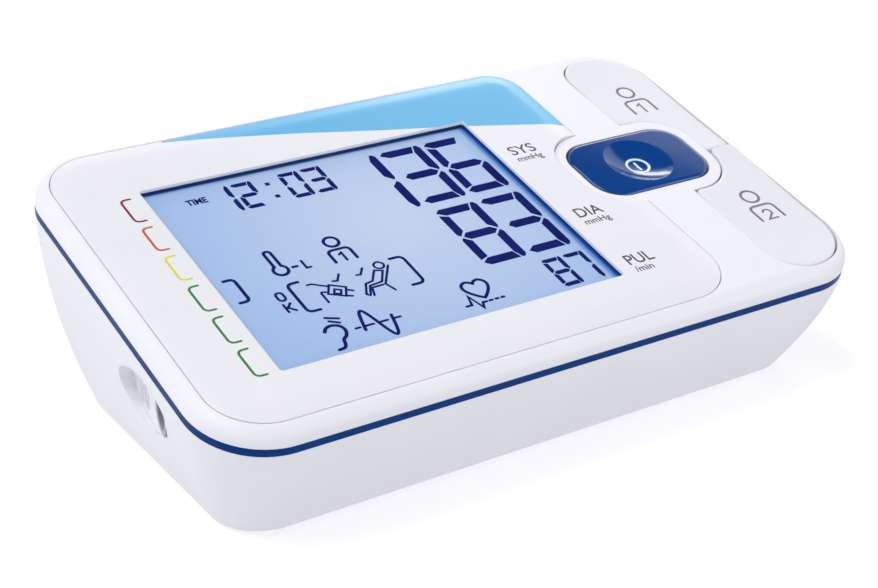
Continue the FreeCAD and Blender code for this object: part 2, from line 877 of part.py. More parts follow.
def user_key(number):
    front, back = key_sides(number)
    body = slab(key_blank(number, 0), flange_bottom, key_rear_rise + wall)
    land = through(land_outline(button_gap))
    body = body.cut(land)
    rim = land_outline(button_gap)
    plan = key_blank(number, 0)
    corners = []
    for edge in upright_edges(body):
        place = Part.Vertex(Vector(edge.Vertexes[0].X, edge.Vertexes[0].Y, 0))
        if place.distToShape(rim)[0] < closeness and place.distToShape(plan)[0] < closeness:
            corners.append(edge)
    body = body.makeFillet(key_inner_corner, corners)
    # The top is a shallow hollow, deepest towards the user.
    reach = (back - front) * key_sink_share
    hollow_radius = (reach**2 + key_sink**2) / (2 * key_sink)
    axis_height = key_rear_rise - key_sink + hollow_radius
    length = key_right - key_left + 2 * wall
    body = body.cut(along_x(hollow_radius, length, key_left - wall, back - reach, axis_height))
    top = max(body.Faces, key=lambda face: getattr(face.Surface, "Radius", 0))
    body = body.makeFillet(key_rounding, top.Edges)
    flange = slab(key_blank(number, flange_width), flange_bottom, flange_top)
    flange = flange.cut(through(land_outline(button_gap - flange_width)))
    flange = flange.common(slab(case_outline(wall + fit_gap), flange_bottom, flange_top))
    body = body.fuse(flange)
    skin_level = key_rear_rise - key_sink - key_skin
    switch_v = key_divide + (key_switch_offset if number == 1 else -key_switch_offset)
    post = cylinder(post_radius, skin_level - stem_top + fit_gap, Vector(switch_u, switch_v, stem_top))
    hollow_box = slab(key_blank(number, -key_skin), flange_bottom - wall, skin_level)
    hollow_box = hollow_box.cut(through(land_outline(button_gap + key_skin)))
    return on_deck(body.cut(hollow_box).fuse(post).removeSplitter())


def switch_places():
    return {
        "start": (button_centre_u, button_centre_v),
        "user_1": (switch_u, key_divide + key_switch_offset),
        "user_2": (switch_u, key_divide - key_switch_offset),
    }


def press_switch(place):
    u, v = place
    half = switch_side / 2
    top = board_top + switch_height
    body = box((u - half, v - half, board_top), (u + half, v + half, top))
    body = body.makeFillet(switch_corner, upright_edges(body))
    return on_deck(body.cut(cylinder(stem_radius + stem_clearance, switch_height, Vector(u, v, board_top))))


def switch_stem(place):
    u, v = place
    return on_deck(cylinder(stem_radius, stem_length, Vector(u, v, stem_bottom)))


# ---------------------------------------------------------------- board and what it carries
def main_board():
    board = slab(case_outline(board_margin), board_bottom, board_top)
    for u, v in board_boss_places:
        hole = cylinder(board_screw_radius + stem_clearance, 2 * wall, Vector(u, v, board_bottom - wall))
        board = board.cut(hole)
    board = on_deck(board)
    for x, y in case_boss_places:
        start = Vector(x, y, case_boss_bottom(y))
        board = board.cut(cylinder(case_boss_radius + boss_clearance, case_boss_length, start))
    return board


def board_screws():
    screws = []
    for u, v in board_boss_places:
        head = cylinder(board_head_radius, board_head_height, Vector(u, v, board_bottom - board_head_height))
        screws.append(head.fuse(cylinder(board_screw_radius, board_screw_length, Vector(u, v, board_bottom))))
    return on_deck(Part.makeCompound(screws))


def under_board(place, height):
    """Corner point for something of this height that hangs under the board."""
    return Vector(place[0], place[1], board_bottom - height)


def controller_chip():
    corner = under_board(chip_place, chip_height).sub(Vector(chip_side / 2, chip_side / 2, 0))
    return on_deck(Part.makeBox(chip_side, chip_side, chip_height, corner))


def buzzer():
    base = under_board(buzzer_place, buzzer_height)
    can = cylinder(buzzer_radius, buzzer_height, base)
    return on_deck(can.cut(cylinder(buzzer_hole_radius, buzzer_height / 2, base)))


def capacitor():
    can = cylinder(capacitor_radius, capacitor_height, under_board(capacitor_place, capacitor_height))
    bottom = level_edges(can, board_bottom - capacitor_height)
    return on_deck(can.makeFillet(capacitor_radius / 6, bottom))


def sensor_turn():
    """Where the sensor's upright tube leans into the deck's slope, in the deck's frame."""
    point = deck.inverse().multVec(Vector(manifold_x, sensor_line_y, sensor_turn_z))
    return Vector(point.x, point.y, point.z - plate_top_over_band)


def sensor_nozzle_tip():
    turn = sensor_turn()
    return Vector(turn.x, turn.y, board_bottom - sensor_height - nozzle_length)


def pressure_sensor():
    tip = sensor_nozzle_tip()
    half = sensor_side / 2
    base = board_bottom - sensor_height
    body = box((tip.x - half, tip.y - half, base), (tip.x + half, tip.y + half, board_bottom))
    body = body.fuse(cylinder(nozzle_radius, nozzle_length, tip))
    return on_deck(body.cut(cylinder(nozzle_bore, nozzle_length + sensor_height / 2, tip)))


# ---------------------------------------------------------------- case screws, feet
def case_screws():
    screws = []
    for x, y in case_boss_places:
        seat = case_boss_bottom(y) - case_seat
        head = cylinder(case_head_radius, case_head_height, Vector(x, y, seat - case_head_height))
        shank = cylinder(case_screw_radius, case_screw_length, Vector(x, y, seat))
        cross = box_about(x, y, seat - case_head_height, case_head_radius, case_head_height / 2)
        screws.append(head.fuse(shank).cut(cross))
    return Part.makeCompound(screws)


def box_about(x, y, low, width, height):
    """Cross-shaped driver recess that opens downwards."""
    slot = width / 4
    along = box((x - width / 2, y - slot / 2, low), (x + width / 2, y + slot / 2, low + height))
    across = box((x - slot / 2, y - width / 2, low), (x + slot / 2, y + width / 2, low + height))
    return along.fuse(across)


def foot(place):
    pad = cylinder(foot_radius - fit_gap, foot_height, Vector(place[0], place[1], 0))
    return pad.makeFillet(foot_height / 4, level_edges(pad, 0))


# ---------------------------------------------------------------- battery bay
def battery_cell(row, column):
    """Row 0 is nearer the user; column 0 is the left one. The two rows point opposite ways."""
    can_length = cell_length - cell_nub_length
    can = along_x(cell_diameter / 2, can_length, 0, 0, 0)
    can = can.makeFillet(cell_edge, [edge for edge in can.Edges if isinstance(edge.Curve, Part.Circle)])
    cell = can.fuse(along_x(cell_nub_radius, cell_nub_length + cell_edge, can_length - cell_edge, 0, 0))
    if row == 0:  # plus end to the right, springs at the left
        x = bay_left + contact_thickness + bay_end_room + column * cell_length
    else:
        cell.rotate(Vector(0, 0, 0), Vector(0, 0, 1), 180)
        x = bay_right - contact_thickness - bay_end_room - (1 - column) * cell_length
    cell.translate(Vector(x, cell_rows()[row], cell_centre_z()))
    return cell


def contact_plate(x, rows, top):
    ys = [cell_rows()[row] for row in rows]
    half = contact_width / 2
    low_z = cell_centre_z() - half
    return box((x, min(ys) - half, low_z), (x + contact_thickness, max(ys) + half, top))


def spring(x, y, direction):
    """Coil spring that presses on a cell, from a contact plate's face at x."""
    clear = bay_end_room - 2 * spring_wire_radius
    helix = Part.makeHelix(clear / spring_turns, clear, spring_radius)
    start = Part.Wire(Part.makeCircle(spring_wire_radius, Vector(spring_radius, 0, 0), Vector(0, 1, 0)))
    coil = Part.Wire(helix.Edges).makePipeShell([start], True, True)
    coil.rotate(Vector(0, 0, 0), Vector(0, 1, 0), 90 * direction)
    coil.translate(Vector(x + spring_wire_radius * direction, y, cell_centre_z()))
    return coil


def bridge_contact():
    """Joins the two rows at the left end: a spring for row 0 and a flat face for row 1."""
    plate = contact_plate(bay_left, (0, 1), cell_centre_z() + contact_width / 2)
    rows = cell_rows()
    coil = spring(bay_left + contact_thickness - fit_gap, rows[0], 1)
    return plate.fuse(coil)


def positive_contact():
    """Touches the last cell of row 0 at the right end, with a tab up through the bay's roof."""
    return contact_plate(bay_right - contact_thickness, (0,), contact_tab_top())


def negative_contact():
    plate = contact_plate(bay_right - contact_thickness, (1,), contact_tab_top())
    coil = spring(bay_right - contact_thickness + fit_gap, cell_rows()[1], -1)
    return plate.fuse(coil)


def contact_tab_top():
    return bay_top() + bay_wall + contact_tab


# ---------------------------------------------------------------- pump, valve and air lines
def along_x(radius, length, x, y, z):
    return cylinder(radius, length, Vector(x, y, z), Vector(1, 0, 0))


def nozzle(base, direction, length):
    """Short hollow spigot for an air tube."""
    spigot = cylinder(nozzle_radius, length, base, direction)
    return spigot.cut(cylinder(nozzle_bore, length, base, direction))


def pump_head():
    head = along_x(pump_head_radius, pump_head_length, pump_left, pump_centre_y, pump_centre_z)
    rims = [edge for edge in head.Edges if isinstance(edge.Curve, Part.Circle)]
    head = head.makeFillet(pump_head_radius / 16, rims)
    base = Vector(pump_left, pump_line_y, manifold_z)
    return head.fuse(nozzle(base, Vector(-1, 0, 0), nozzle_length))


def pump_motor():
    start = pump_left + pump_head_length
    can = along_x(motor_radius, motor_length, start, pump_centre_y, pump_centre_z)
    end = start + motor_length
    can = can.fuse(along_x(motor_end_radius, motor_end_length, end, pump_centre_y, pump_centre_z))
    half = terminal_width / 2
    for side in (-1, 1):
        y = pump_centre_y + side * lead_spread / 2
        low = pump_centre_z + motor_end_radius
        terminal = box((end, y - half, low), (end + terminal_thickness, y + half, low + terminal_height))
        can = can.fuse(terminal)
    return can


def pump_mount(x, radius):
    start = x - mount_width / 2
    ring = along_x(radius + mount_thickness, mount_width, start, pump_centre_y, pump_centre_z)
    return ring.cut(along_x(radius, mount_width, start, pump_centre_y, pump_centre_z))


def manifold_front():
    return min(socket_line_y, pump_line_y) - manifold_end_room / 2


def manifold_back():
    return max(valve_line_y, sensor_line_y) + manifold_end_room


def air_manifold():
    half = manifold_side / 2
    low = manifold_z - manifold_height / 2
    top = manifold_z + manifold_height / 2
    block = box((manifold_x - half, manifold_front(), low), (manifold_x + half, manifold_back(), top))
    side = manifold_x + half
    for y in (pump_line_y, valve_line_y):
        block = block.fuse(nozzle(Vector(side, y, manifold_z), Vector(1, 0, 0), nozzle_length))
    for y in (socket_line_y, sensor_line_y):
        block = block.fuse(nozzle(Vector(manifold_x, y, top), Vector(0, 0, 1), nozzle_length))
    return block


def release_valve():
    low = manifold_z - valve_height / 2
    half = valve_width / 2
    far = (valve_left + valve_length, valve_line_y + half, low + valve_height)
    body = box((valve_left, valve_line_y - half, low), far)
    body = body.makeFillet(terminal_thickness, body.Edges)
    return body.fuse(nozzle(Vector(valve_left, valve_line_y, manifold_z), Vector(-1, 0, 0), nozzle_length))


def rounded_path(points, bend):
    """Straight runs joined by tangent arcs, as one wire."""
    edges = []
    start = points[0]
    for before, corner, after in zip(points, points[1:], points[2:]):
        inward = corner.sub(before).normalize()
        outward = after.sub(corner).normalize()
        turn = inward.getAngle(outward)
        setback = bend * math.tan(turn / 2)
        first = corner.sub(Vector(inward).multiply(setback))
        last = corner.add(Vector(outward).multiply(setback))
        towards = outward.sub(inward).normalize()
        centre_distance = bend / math.cos(turn / 2)
        centre = corner.add(Vector(towards).multiply(centre_distance))
        middle = centre.sub(Vector(towards).multiply(bend))
        edges.append(Part.makeLine(start, first))
        edges.append(Part.Arc(first, middle, last).toShape())
        start = last
    edges.append(Part.makeLine(start, points[-1]))
    return Part.Wire(edges)


def air_tube(points):
    path = rounded_path(points, tube_bend)
    direction = points[1].sub(points[0])
    solids = []
    for radius in (nozzle_radius + tube_slip + tube_wall, nozzle_radius + tube_slip):
        ring = Part.Wire(Part.makeCircle(radius, points[0], direction))
        solids.append(path.makePipeShell([ring], True, True))
    return solids[0].cut(solids[1])


def socket_tube():
    top = manifold_z + manifold_height / 2
    start = Vector(socket_end_x + tube_slip, socket_y, socket_z)
    corner = Vector(manifold_x, socket_y, socket_z)
    over = Vector(manifold_x, socket_line_y, socket_z)
    return air_tube([start, corner, over, Vector(manifold_x, socket_line_y, top + tube_slip)])


def pump_tube():
    start = Vector(manifold_x + manifold_side / 2 + tube_slip, pump_line_y, manifold_z)
    return air_tube([start, Vector(pump_left - tube_slip, pump_line_y, manifold_z)])


def valve_tube():
    start = Vector(manifold_x + manifold_side / 2 + tube_slip, valve_line_y, manifold_z)
    return air_tube([start, Vector(valve_left - tube_slip, valve_line_y, manifold_z)])


def sensor_tube():
    top = manifold_z + manifold_height / 2
    start = Vector(manifold_x, sensor_line_y, top + tube_slip)
    turn = Vector(manifold_x, sensor_line_y, sensor_turn_z)
    place = sensor_turn()
    end = deck_point(place.x, place.y, board_bottom - sensor_height - tube_slip)
    return air_tube([start, turn, end])


# ---------------------------------------------------------------- cuff socket and power jack
def cuff_socket():
    start = -case_half_u
    outer = along_x(socket_bore_radius + socket_wall, socket_end_x - start, start, *socket_place)
    flange_x = socket_seat_x + seal_thickness
    outer = outer.fuse(along_x(socket_flange_radius, socket_flange_thickness, flange_x, *socket_place))
    outer = outer.cut(along_x(socket_bore_radius, socket_bore_end_x - start, start, *socket_place))
    outer = outer.fuse(nozzle(Vector(socket_end_x, *socket_place), Vector(1, 0, 0), nozzle_length))
    outer = outer.cut(along_x(nozzle_bore, socket_end_x - start, start, *socket_place))
    outside = scoop(0).fuse(box((-case_width, -case_depth, 0), (-case_half_u, case_depth, case_width)))
    return outer.cut(outside).removeSplitter()


def socket_seal():
    ring = along_x(socket_flange_radius, seal_thickness, socket_seat_x, *socket_place)
    return ring.cut(along_x(socket_bore_radius + socket_wall, seal_thickness, socket_seat_x, *socket_place))


def power_jack():
    half_x = jack_width / 2
    half_z = jack_height / 2
    shoulder = jack_shoulder_y()
    far = (jack_x + half_x, shoulder, jack_z + half_z)
    block = box((jack_x - half_x, shoulder - jack_length, jack_z - half_z), far)
    start = Vector(jack_x, shoulder, jack_z)
    block = block.fuse(cylinder(jack_barrel_radius, jack_face_y() - shoulder, start, Vector(0, 1, 0)))
    bore_start = Vector(jack_x, jack_face_y() - jack_bore_depth, jack_z)
    block = block.cut(cylinder(jack_bore_radius, jack_bore_depth, bore_start, Vector(0, 1, 0)))
    pin = cylinder(jack_pin_radius, jack_bore_depth - jack_pin_radius, bore_start, Vector(0, 1, 0))
    return block.fuse(pin)


# ---------------------------------------------------------------- leads
def lead(x, y, low):
    """Straight wire up to the underside of the board."""
    return cylinder(lead_radius, deck_height(y - lead_radius, board_bottom) - low, Vector(x, y, low))


def battery_leads():
    x = bay_right - contact_thickness / 2
    return Part.makeCompound([lead(x, y, contact_tab_top()) for y in cell_rows()])


def motor_leads():
    x = pump_left + pump_head_length + motor_length + lead_radius
    low = pump_centre_z + motor_end_radius + terminal_height
    ys = [pump_centre_y + side * lead_spread / 2 for side in (-1, 1)]
    return Part.makeCompound([lead(x, y, low) for y in ys])


def jack_leads():
    y = jack_shoulder_y() - jack_length / 2
    xs = [jack_x + side * lead_spread / 3 for side in (-1, 1)]
    return Part.makeCompound([lead(x, y, jack_z + jack_height / 2) for x in xs])


# ---------------------------------------------------------------- the whole set
def pieces():
    made = {
        "lower_shell": lower_shell(),
        "trim_band": trim_band(),
        "upper_shell": upper_shell(),
        "face_plate": face_plate(),
        "display_window": window_lens(),
        "display_glass": display_glass(),
        "backlight": backlight(),
        "display_holder": display_holder(),
        "contact_strip": contact_strip(),
        "start_button": start_button(),
        "user_key_1": user_key(1),
        "user_key_2": user_key(2),
        "main_board": main_board(),
        "board_screws": board_screws(),
        "controller_chip": controller_chip(),
        "buzzer": buzzer(),
        "capacitor": capacitor(),
        "pressure_sensor": pressure_sensor(),
        "case_screws": case_screws(),
        "battery_door": battery_door(),
        "bridge_contact": bridge_contact(),
        "positive_contact": positive_contact(),
        "negative_contact": negative_contact(),
        "pump_head": pump_head(),
        "pump_motor": pump_motor(),
        "air_manifold": air_manifold(),
        "release_valve": release_valve(),
        "socket_tube": socket_tube(),
        "pump_tube": pump_tube(),
        "valve_tube": valve_tube(),
        "sensor_tube": sensor_tube(),
        "cuff_socket": cuff_socket(),
        "socket_seal": socket_seal(),
        "power_jack": power_jack(),
        "battery_leads": battery_leads(),
        "motor_leads": motor_leads(),
        "jack_leads": jack_leads(),
    }
    for name, place in switch_places().items():
        made[name + "_switch"] = press_switch(place)
        made[name + "_stem"] = switch_stem(place)
    for name, (x, radius) in zip(("left", "right"), pump_mounts()):
        made["pump_mount_" + name] = pump_mount(x, radius)
    for name, place in zip(("front_left", "front_right", "back_left", "back_right"), foot_places):
        made["foot_" + name] = foot(place)
    for row in (0, 1):
        for column in (0, 1):
            made[f"battery_cell_{1 + 2 * row + column}"] = battery_cell(row, column)
    return made


def main():
    os.makedirs("parts", exist_ok=True)
    for name, shape in pieces().items():
        shape.exportStep(f"parts/{name}.step")
        kind = "valid" if shape.isValid() else "NOT VALID"
        print(f"{name}: {len(shape.Solids)} solid(s), {shape.Volume:.1f} mm3, {kind}")


main()
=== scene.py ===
"""Looks of a table-top blood pressure monitor: finishes, prints, display figures and a stage.

It is laid out as an add-on and run as a script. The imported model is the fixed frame, in metres. What lies
on the tilted deck is drawn flat: x to the right and y up the slope, from the middle of the display window,
in units of a hundredth of the window's width. It is then laid on the surface that carries it.
"""

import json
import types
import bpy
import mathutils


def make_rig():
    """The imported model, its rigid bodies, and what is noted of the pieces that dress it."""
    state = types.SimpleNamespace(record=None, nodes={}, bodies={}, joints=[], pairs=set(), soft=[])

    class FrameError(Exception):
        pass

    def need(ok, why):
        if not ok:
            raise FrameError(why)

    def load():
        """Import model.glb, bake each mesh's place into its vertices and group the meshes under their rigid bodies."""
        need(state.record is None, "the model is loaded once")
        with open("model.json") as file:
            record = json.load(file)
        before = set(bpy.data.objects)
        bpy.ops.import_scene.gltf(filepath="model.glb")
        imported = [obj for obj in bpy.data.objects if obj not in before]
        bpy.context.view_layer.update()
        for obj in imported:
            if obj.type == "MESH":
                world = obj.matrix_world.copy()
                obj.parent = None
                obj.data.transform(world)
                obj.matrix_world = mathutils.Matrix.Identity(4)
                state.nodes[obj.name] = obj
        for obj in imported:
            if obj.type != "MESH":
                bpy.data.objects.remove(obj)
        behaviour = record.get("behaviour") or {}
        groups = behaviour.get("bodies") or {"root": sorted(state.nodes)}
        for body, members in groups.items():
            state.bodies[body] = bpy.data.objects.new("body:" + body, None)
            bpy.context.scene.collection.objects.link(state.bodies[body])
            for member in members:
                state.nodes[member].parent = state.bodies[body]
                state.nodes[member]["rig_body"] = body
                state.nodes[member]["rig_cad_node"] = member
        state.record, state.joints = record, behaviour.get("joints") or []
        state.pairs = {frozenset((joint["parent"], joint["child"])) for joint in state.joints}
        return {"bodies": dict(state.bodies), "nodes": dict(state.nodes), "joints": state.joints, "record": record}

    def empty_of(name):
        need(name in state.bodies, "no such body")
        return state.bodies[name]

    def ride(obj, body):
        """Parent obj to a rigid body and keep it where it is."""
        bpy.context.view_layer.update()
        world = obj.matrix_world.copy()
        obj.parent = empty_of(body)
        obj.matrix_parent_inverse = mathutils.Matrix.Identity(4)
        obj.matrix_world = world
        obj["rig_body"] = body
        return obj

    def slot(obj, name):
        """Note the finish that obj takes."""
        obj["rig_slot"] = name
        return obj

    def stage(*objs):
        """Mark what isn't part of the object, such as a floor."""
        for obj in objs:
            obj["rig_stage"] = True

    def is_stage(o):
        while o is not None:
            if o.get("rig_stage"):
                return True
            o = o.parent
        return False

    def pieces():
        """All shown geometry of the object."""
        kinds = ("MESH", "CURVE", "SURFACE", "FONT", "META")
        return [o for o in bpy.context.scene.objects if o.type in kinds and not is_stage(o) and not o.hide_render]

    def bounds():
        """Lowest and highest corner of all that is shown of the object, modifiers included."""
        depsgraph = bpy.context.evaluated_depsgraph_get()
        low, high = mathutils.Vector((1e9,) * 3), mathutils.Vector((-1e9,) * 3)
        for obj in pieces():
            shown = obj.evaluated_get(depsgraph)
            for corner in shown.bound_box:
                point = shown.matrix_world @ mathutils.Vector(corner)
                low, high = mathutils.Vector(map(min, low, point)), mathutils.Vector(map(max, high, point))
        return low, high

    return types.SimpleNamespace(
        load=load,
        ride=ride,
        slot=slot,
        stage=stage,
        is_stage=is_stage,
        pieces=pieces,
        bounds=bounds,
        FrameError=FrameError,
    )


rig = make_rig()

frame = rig.load()

import json
import math

import bpy
from bpy.props import FloatProperty, FloatVectorProperty, PointerProperty, StringProperty
from mathutils import Matrix, Vector
from mathutils.bvhtree import BVHTree

cad_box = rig.bounds()

bl_info = {
    "name": "Blood pressure monitor looks",
    "version": (1, 0, 0),
    "blender": (4, 5, 0),
    "location": "View3D > Sidebar > Monitor",
    "description": "Finishes, prints, display figures and a stage for a table-top blood pressure monitor",
    "category": "Object",
}

MM = 0.001
SIZE_FILE = "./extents.json"


# ---------------------------------------------------------------- the deck, read from the frame
def along(name, direction):
    """Lowest and highest place of a node along a direction."""
    places = [vertex.co.dot(direction) for vertex in frame["nodes"][name].data.vertices]
    return min(places), max(places)


press_axis = next(joint["axis"] for joint in frame["joints"] if joint["name"] == "start_press")
deck_out = -Vector(press_axis).normalized()
deck_right = Vector((1, 0, 0))
deck_back = deck_out.cross(deck_right)
plate_top = along("face_plate", deck_out)[1]
window_left, window_right = along("display_window", deck_right)
window_front, window_back = along("display_window", deck_back)
WINDOW_RIM = 1.5 * MM  # how far the clear window reaches under the plate
opening_width = window_right - window_left - 2 * WINDOW_RIM
opening_depth = window_back - window_front - 2 * WINDOW_RIM
UNIT = opening_width / 100
HALF_X = 50
HALF_Y = opening_depth / UNIT / 2
deck_origin = (
    deck_right * (window_left + window_right) / 2
    + deck_back * (window_front + window_back) / 2
    + deck_out * plate_top
)
deck_frame = Matrix(
    [[deck_right[i], deck_back[i], deck_out[i], deck_origin[i]] for i in range(3)] + [[0, 0, 0, 1]]
)


# ---------------------------------------------------------------- flat drawing
def arc(centre_x, centre_y, radius, start, end, steps=16):
    """Points of an arc, in degrees counter-clockwise."""
    turns = [math.radians(start + (end - start) * step / steps) for step in range(steps + 1)]
    return [(centre_x + radius * math.cos(turn), centre_y + radius * math.sin(turn)) for turn in turns]


def rounded(points, radius, steps=6):
    """An open path with its inner corners rounded."""
    path = [points[0]]
    for before, corner, after in zip(points, points[1:], points[2:]):
        corner = Vector(corner)
        inward = (Vector(before) - corner).normalized()
        outward = (Vector(after) - corner).normalized()
        first = corner + inward * radius
        last = corner + outward * radius
        for step in range(steps + 1):
            share = step / steps
            point = first.lerp(corner, share).lerp(corner.lerp(last, share), share)
            path.append(tuple(point))
    path.append(points[-1])
    return path


def smooth(points, steps=6):
    """A smooth path through the points."""
    ends = [points[0]] + list(points) + [points[-1]]
    path = []
    for before, start, end, after in zip(ends, ends[1:], ends[2:], ends[3:]):
        p0, p1, p2, p3 = (Vector(point) for point in (before, start, end, after))
        for step in range(steps):
            t = step / steps
            point = p1 * 2 + (p2 - p0) * t + (p0 * 2 - p1 * 5 + p2 * 4 - p3) * t**2
            point = point + (p1 * 3 - p0 - p2 * 3 + p3) * t**3
            path.append(tuple(point / 2))
    path.append(tuple(points[-1]))
    return path


def divided(path, longest):
    """The path with more points, so that no run is longer than this."""
    fine = [path[0]]
    for start, end in zip(path, path[1:]):
        runs = max(1, math.ceil((Vector(end) - Vector(start)).length / longest))
        fine += [tuple(Vector(start).lerp(Vector(end), run / runs)) for run in range(1, runs + 1)]
    return fine


SAME_POINT = 50  # points of a path nearer to each other than the line's width over this count as one
SAME_END = 10  # the same for the two ends of a closed path
SHARPEST = 0.4  # keeps a line from reaching too far out at a sharp corner
CAP_STEPS = 8


def stroke(path, width, closed=False):
    """Flat shapes of a line of even width with round ends."""
    points = [Vector(path[0])]
    for point in path[1:]:
        if (Vector(point) - points[-1]).length > width / SAME_POINT:
            points.append(Vector(point))
    if closed and (points[0] - points[-1]).length < width / SAME_END:
        points.pop()
    half = width / 2
    sides = []
    for index, point in enumerate(points):
        before = points[index - 1] if closed or index else point
        after = points[(index + 1) % len(points)] if closed or index + 1 < len(points) else point
        inward = (point - before).normalized()
        outward = (after - point).normalized()
        inward = inward if inward.length else outward
        outward = outward if outward.length else inward
        across = Vector((-(inward + outward).y, (inward + outward).x)).normalized()
        reach = half / max(SHARPEST, across.dot(Vector((-inward.y, inward.x))))
        sides.append((tuple(point + across * reach), tuple(point - across * reach)))
    pairs = zip(sides, sides[1:] + sides[:1] if closed else sides[1:])
    shapes = [[left, right, far_right, far_left] for (left, right), (far_left, far_right) in pairs]
    if not closed:
        for end, inner in ((points[0], points[1]), (points[-1], points[-2])):
            way = end - inner
            turn = math.degrees(math.atan2(way.y, way.x))
            cap = arc(end.x, end.y, half, turn - 90, turn + 90, CAP_STEPS)
            left, right = sides[0] if end is points[0] else sides[-1]
            cap[0], cap[-1] = (left, right) if end is points[0] else (right, left)
            shapes.append(cap)
    return shapes


def moved(shapes, x, y):
    """The shapes, shifted."""
    return [[(x + px, y + py) for px, py in shape] for shape in shapes]


def letters(text, left, base, height, width, boldness):
    """Flat shapes of plain lettering, fitted to a height of its capitals and a width."""
    curve = bpy.data.curves.new("lettering", "FONT")
    curve.body = text
    curve.offset = boldness
    holder = bpy.data.objects.new("lettering", curve)
    mesh = bpy.data.meshes.new_from_object(holder)
    points = [vertex.co.to_2d() for vertex in mesh.vertices]
    low = min(point.x for point in points)
    scale_x = width / (max(point.x for point in points) - low)
    scale_y = height / max(point.y for point in points)
    fitted = [(left + (point.x - low) * scale_x, base + point.y * scale_y) for point in points]
    shapes = [[fitted[index] for index in face.vertices] for face in mesh.polygons]
    bpy.data.objects.remove(holder)
    bpy.data.curves.remove(curve)
    bpy.data.meshes.remove(mesh)
    return shapes


# ---------------------------------------------------------------- laying flat shapes on a surface
SAME_PLACE = 4  # decimals to which two points of the drawing agree when they are one
CAST_FROM = 4 * MM  # height over the drawing from which a point drops to the surface
INK_FILM = 0.02 * MM


def signed_area(ring):
    """Area of a flat ring, negative where it runs clockwise."""
    following = ring[1:] + ring[:1]
    return sum(a[0] * b[1] - b[0] * a[1] for a, b in zip(ring, following)) / 2


def film(name, shapes, foot, up, thickness, sunk):
    """A thin closed solid over flat shapes: foot(x, y) is the place on the surface under a point."""
    numbers = {}
    rings = []
    for shape in shapes:
        ring = []
        for point in shape:
            key = (round(point[0], SAME_PLACE), round(point[1], SAME_PLACE))
            number = numbers.setdefault(key, len(numbers))
            if number not in ring:
                ring.append(number)
        if len(ring) > 2:
            rings.append(ring)
    corners = list(numbers)
    for ring in rings:
        if signed_area([corners[number] for number in ring]) < 0:
            ring.reverse()
    feet = [foot(x, y) for x, y in corners]
    count = len(feet)
    vertices = [point - up * sunk for point in feet] + [point + up * thickness for point in feet]
    borders = {(a, b) for ring in rings for a, b in zip(ring, ring[1:] + ring[:1])}
    faces = [[number + count for number in ring] for ring in rings]
    faces += [ring[::-1] for ring in rings]
    faces += [[a, b, b + count, a + count] for a, b in borders if (b, a) not in borders]
    mesh = bpy.data.meshes.new(name)
    mesh.from_pydata(vertices, [], faces)
    mesh.update()
    piece = bpy.data.objects.new(name, mesh)
    bpy.context.scene.collection.objects.link(piece)
    return piece


def resting_on(node, base):
    """A function that gives the place on a node under a point of the flat drawing."""
    mesh = frame["nodes"][node].data
    faces = [face.vertices for face in mesh.polygons]
    tree = BVHTree.FromPolygons([vertex.co for vertex in mesh.vertices], faces)
    down = -base.col[2].to_3d()

    def foot(x, y):
        start = base @ Vector((x * UNIT, y * UNIT, CAST_FROM))
        hit = tree.ray_cast(start, down)[0]
        if hit is None:
            raise RuntimeError(f"nothing of {node} lies under {x:.2f}, {y:.2f}")
        return hit

    return foot


def print_on(name, shapes, node, body, finish, slot, base=deck_frame, thickness=INK_FILM):
    """Lay ink on a node, in the flat drawing's units."""
    foot = resting_on(node, base)
    piece = film(name, shapes, foot, base.col[2].to_3d(), thickness, thickness / 2)
    piece.data.materials.append(finish)
    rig.ride(piece, body)
    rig.slot(piece, slot)
    return piece


# ---------------------------------------------------------------- colours and nodes
def linear(colour):
    """Linear colour of an sRGB hex value."""
    values = [int(colour[index : index + 2], 16) / 255 for index in (1, 3, 5)]
    return [v / 12.92 if v <= 0.04045 else ((v + 0.055) / 1.055) ** 2.4 for v in values] + [1.0]


def add(tree, kind, inputs=None, **settings):
    """Add a node with its settings. Each input is a value, or the socket that feeds it."""
    made = tree.nodes.new(kind)
    for name, value in settings.items():
        setattr(made, name, value)
    for name, value in (inputs or {}).items():
        if isinstance(value, bpy.types.NodeSocket):
            tree.links.new(value, made.inputs[name])
        else:
            made.inputs[name].default_value = value
    return made


def maths(tree, operation, *values, **settings):
    """Socket with the result of a calculation. Each value is a number, or the socket that feeds it."""
    return add(tree, "ShaderNodeMath", dict(enumerate(values)), operation=operation, **settings).outputs[0]


def ranged(tree, value, start, end, first, last, **settings):
    """Socket that goes from the first level to the last while a value goes from start to end."""
    levels = {"Value": value, "From Min": start, "From Max": end, "To Min": first, "To Max": last}
    return add(tree, "ShaderNodeMapRange", levels, **settings).outputs[0]


def mixed(tree, factor, first, second, **settings):
    """Socket with a mix of two colours."""
    colours = {0: factor, 6: first, 7: second}
    return add(tree, "ShaderNodeMix", colours, data_type="RGBA", **settings).outputs[2]


def colour_ramp(tree, factor, steps, interpolation="LINEAR"):
    """Socket with the colour that a share between 0 and 1 stands for. A step is a share and its colour."""
    ramp = add(tree, "ShaderNodeValToRGB", {"Fac": factor})
    stops = ramp.color_ramp
    stops.interpolation = interpolation
    for stop, (share, colour) in zip(stops.elements, (steps[0], steps[-1])):
        stop.position = share
        stop.color = linear(colour)
    for share, colour in steps[1:-1]:
        stops.elements.new(share).color = linear(colour)
    return ramp.outputs[0]


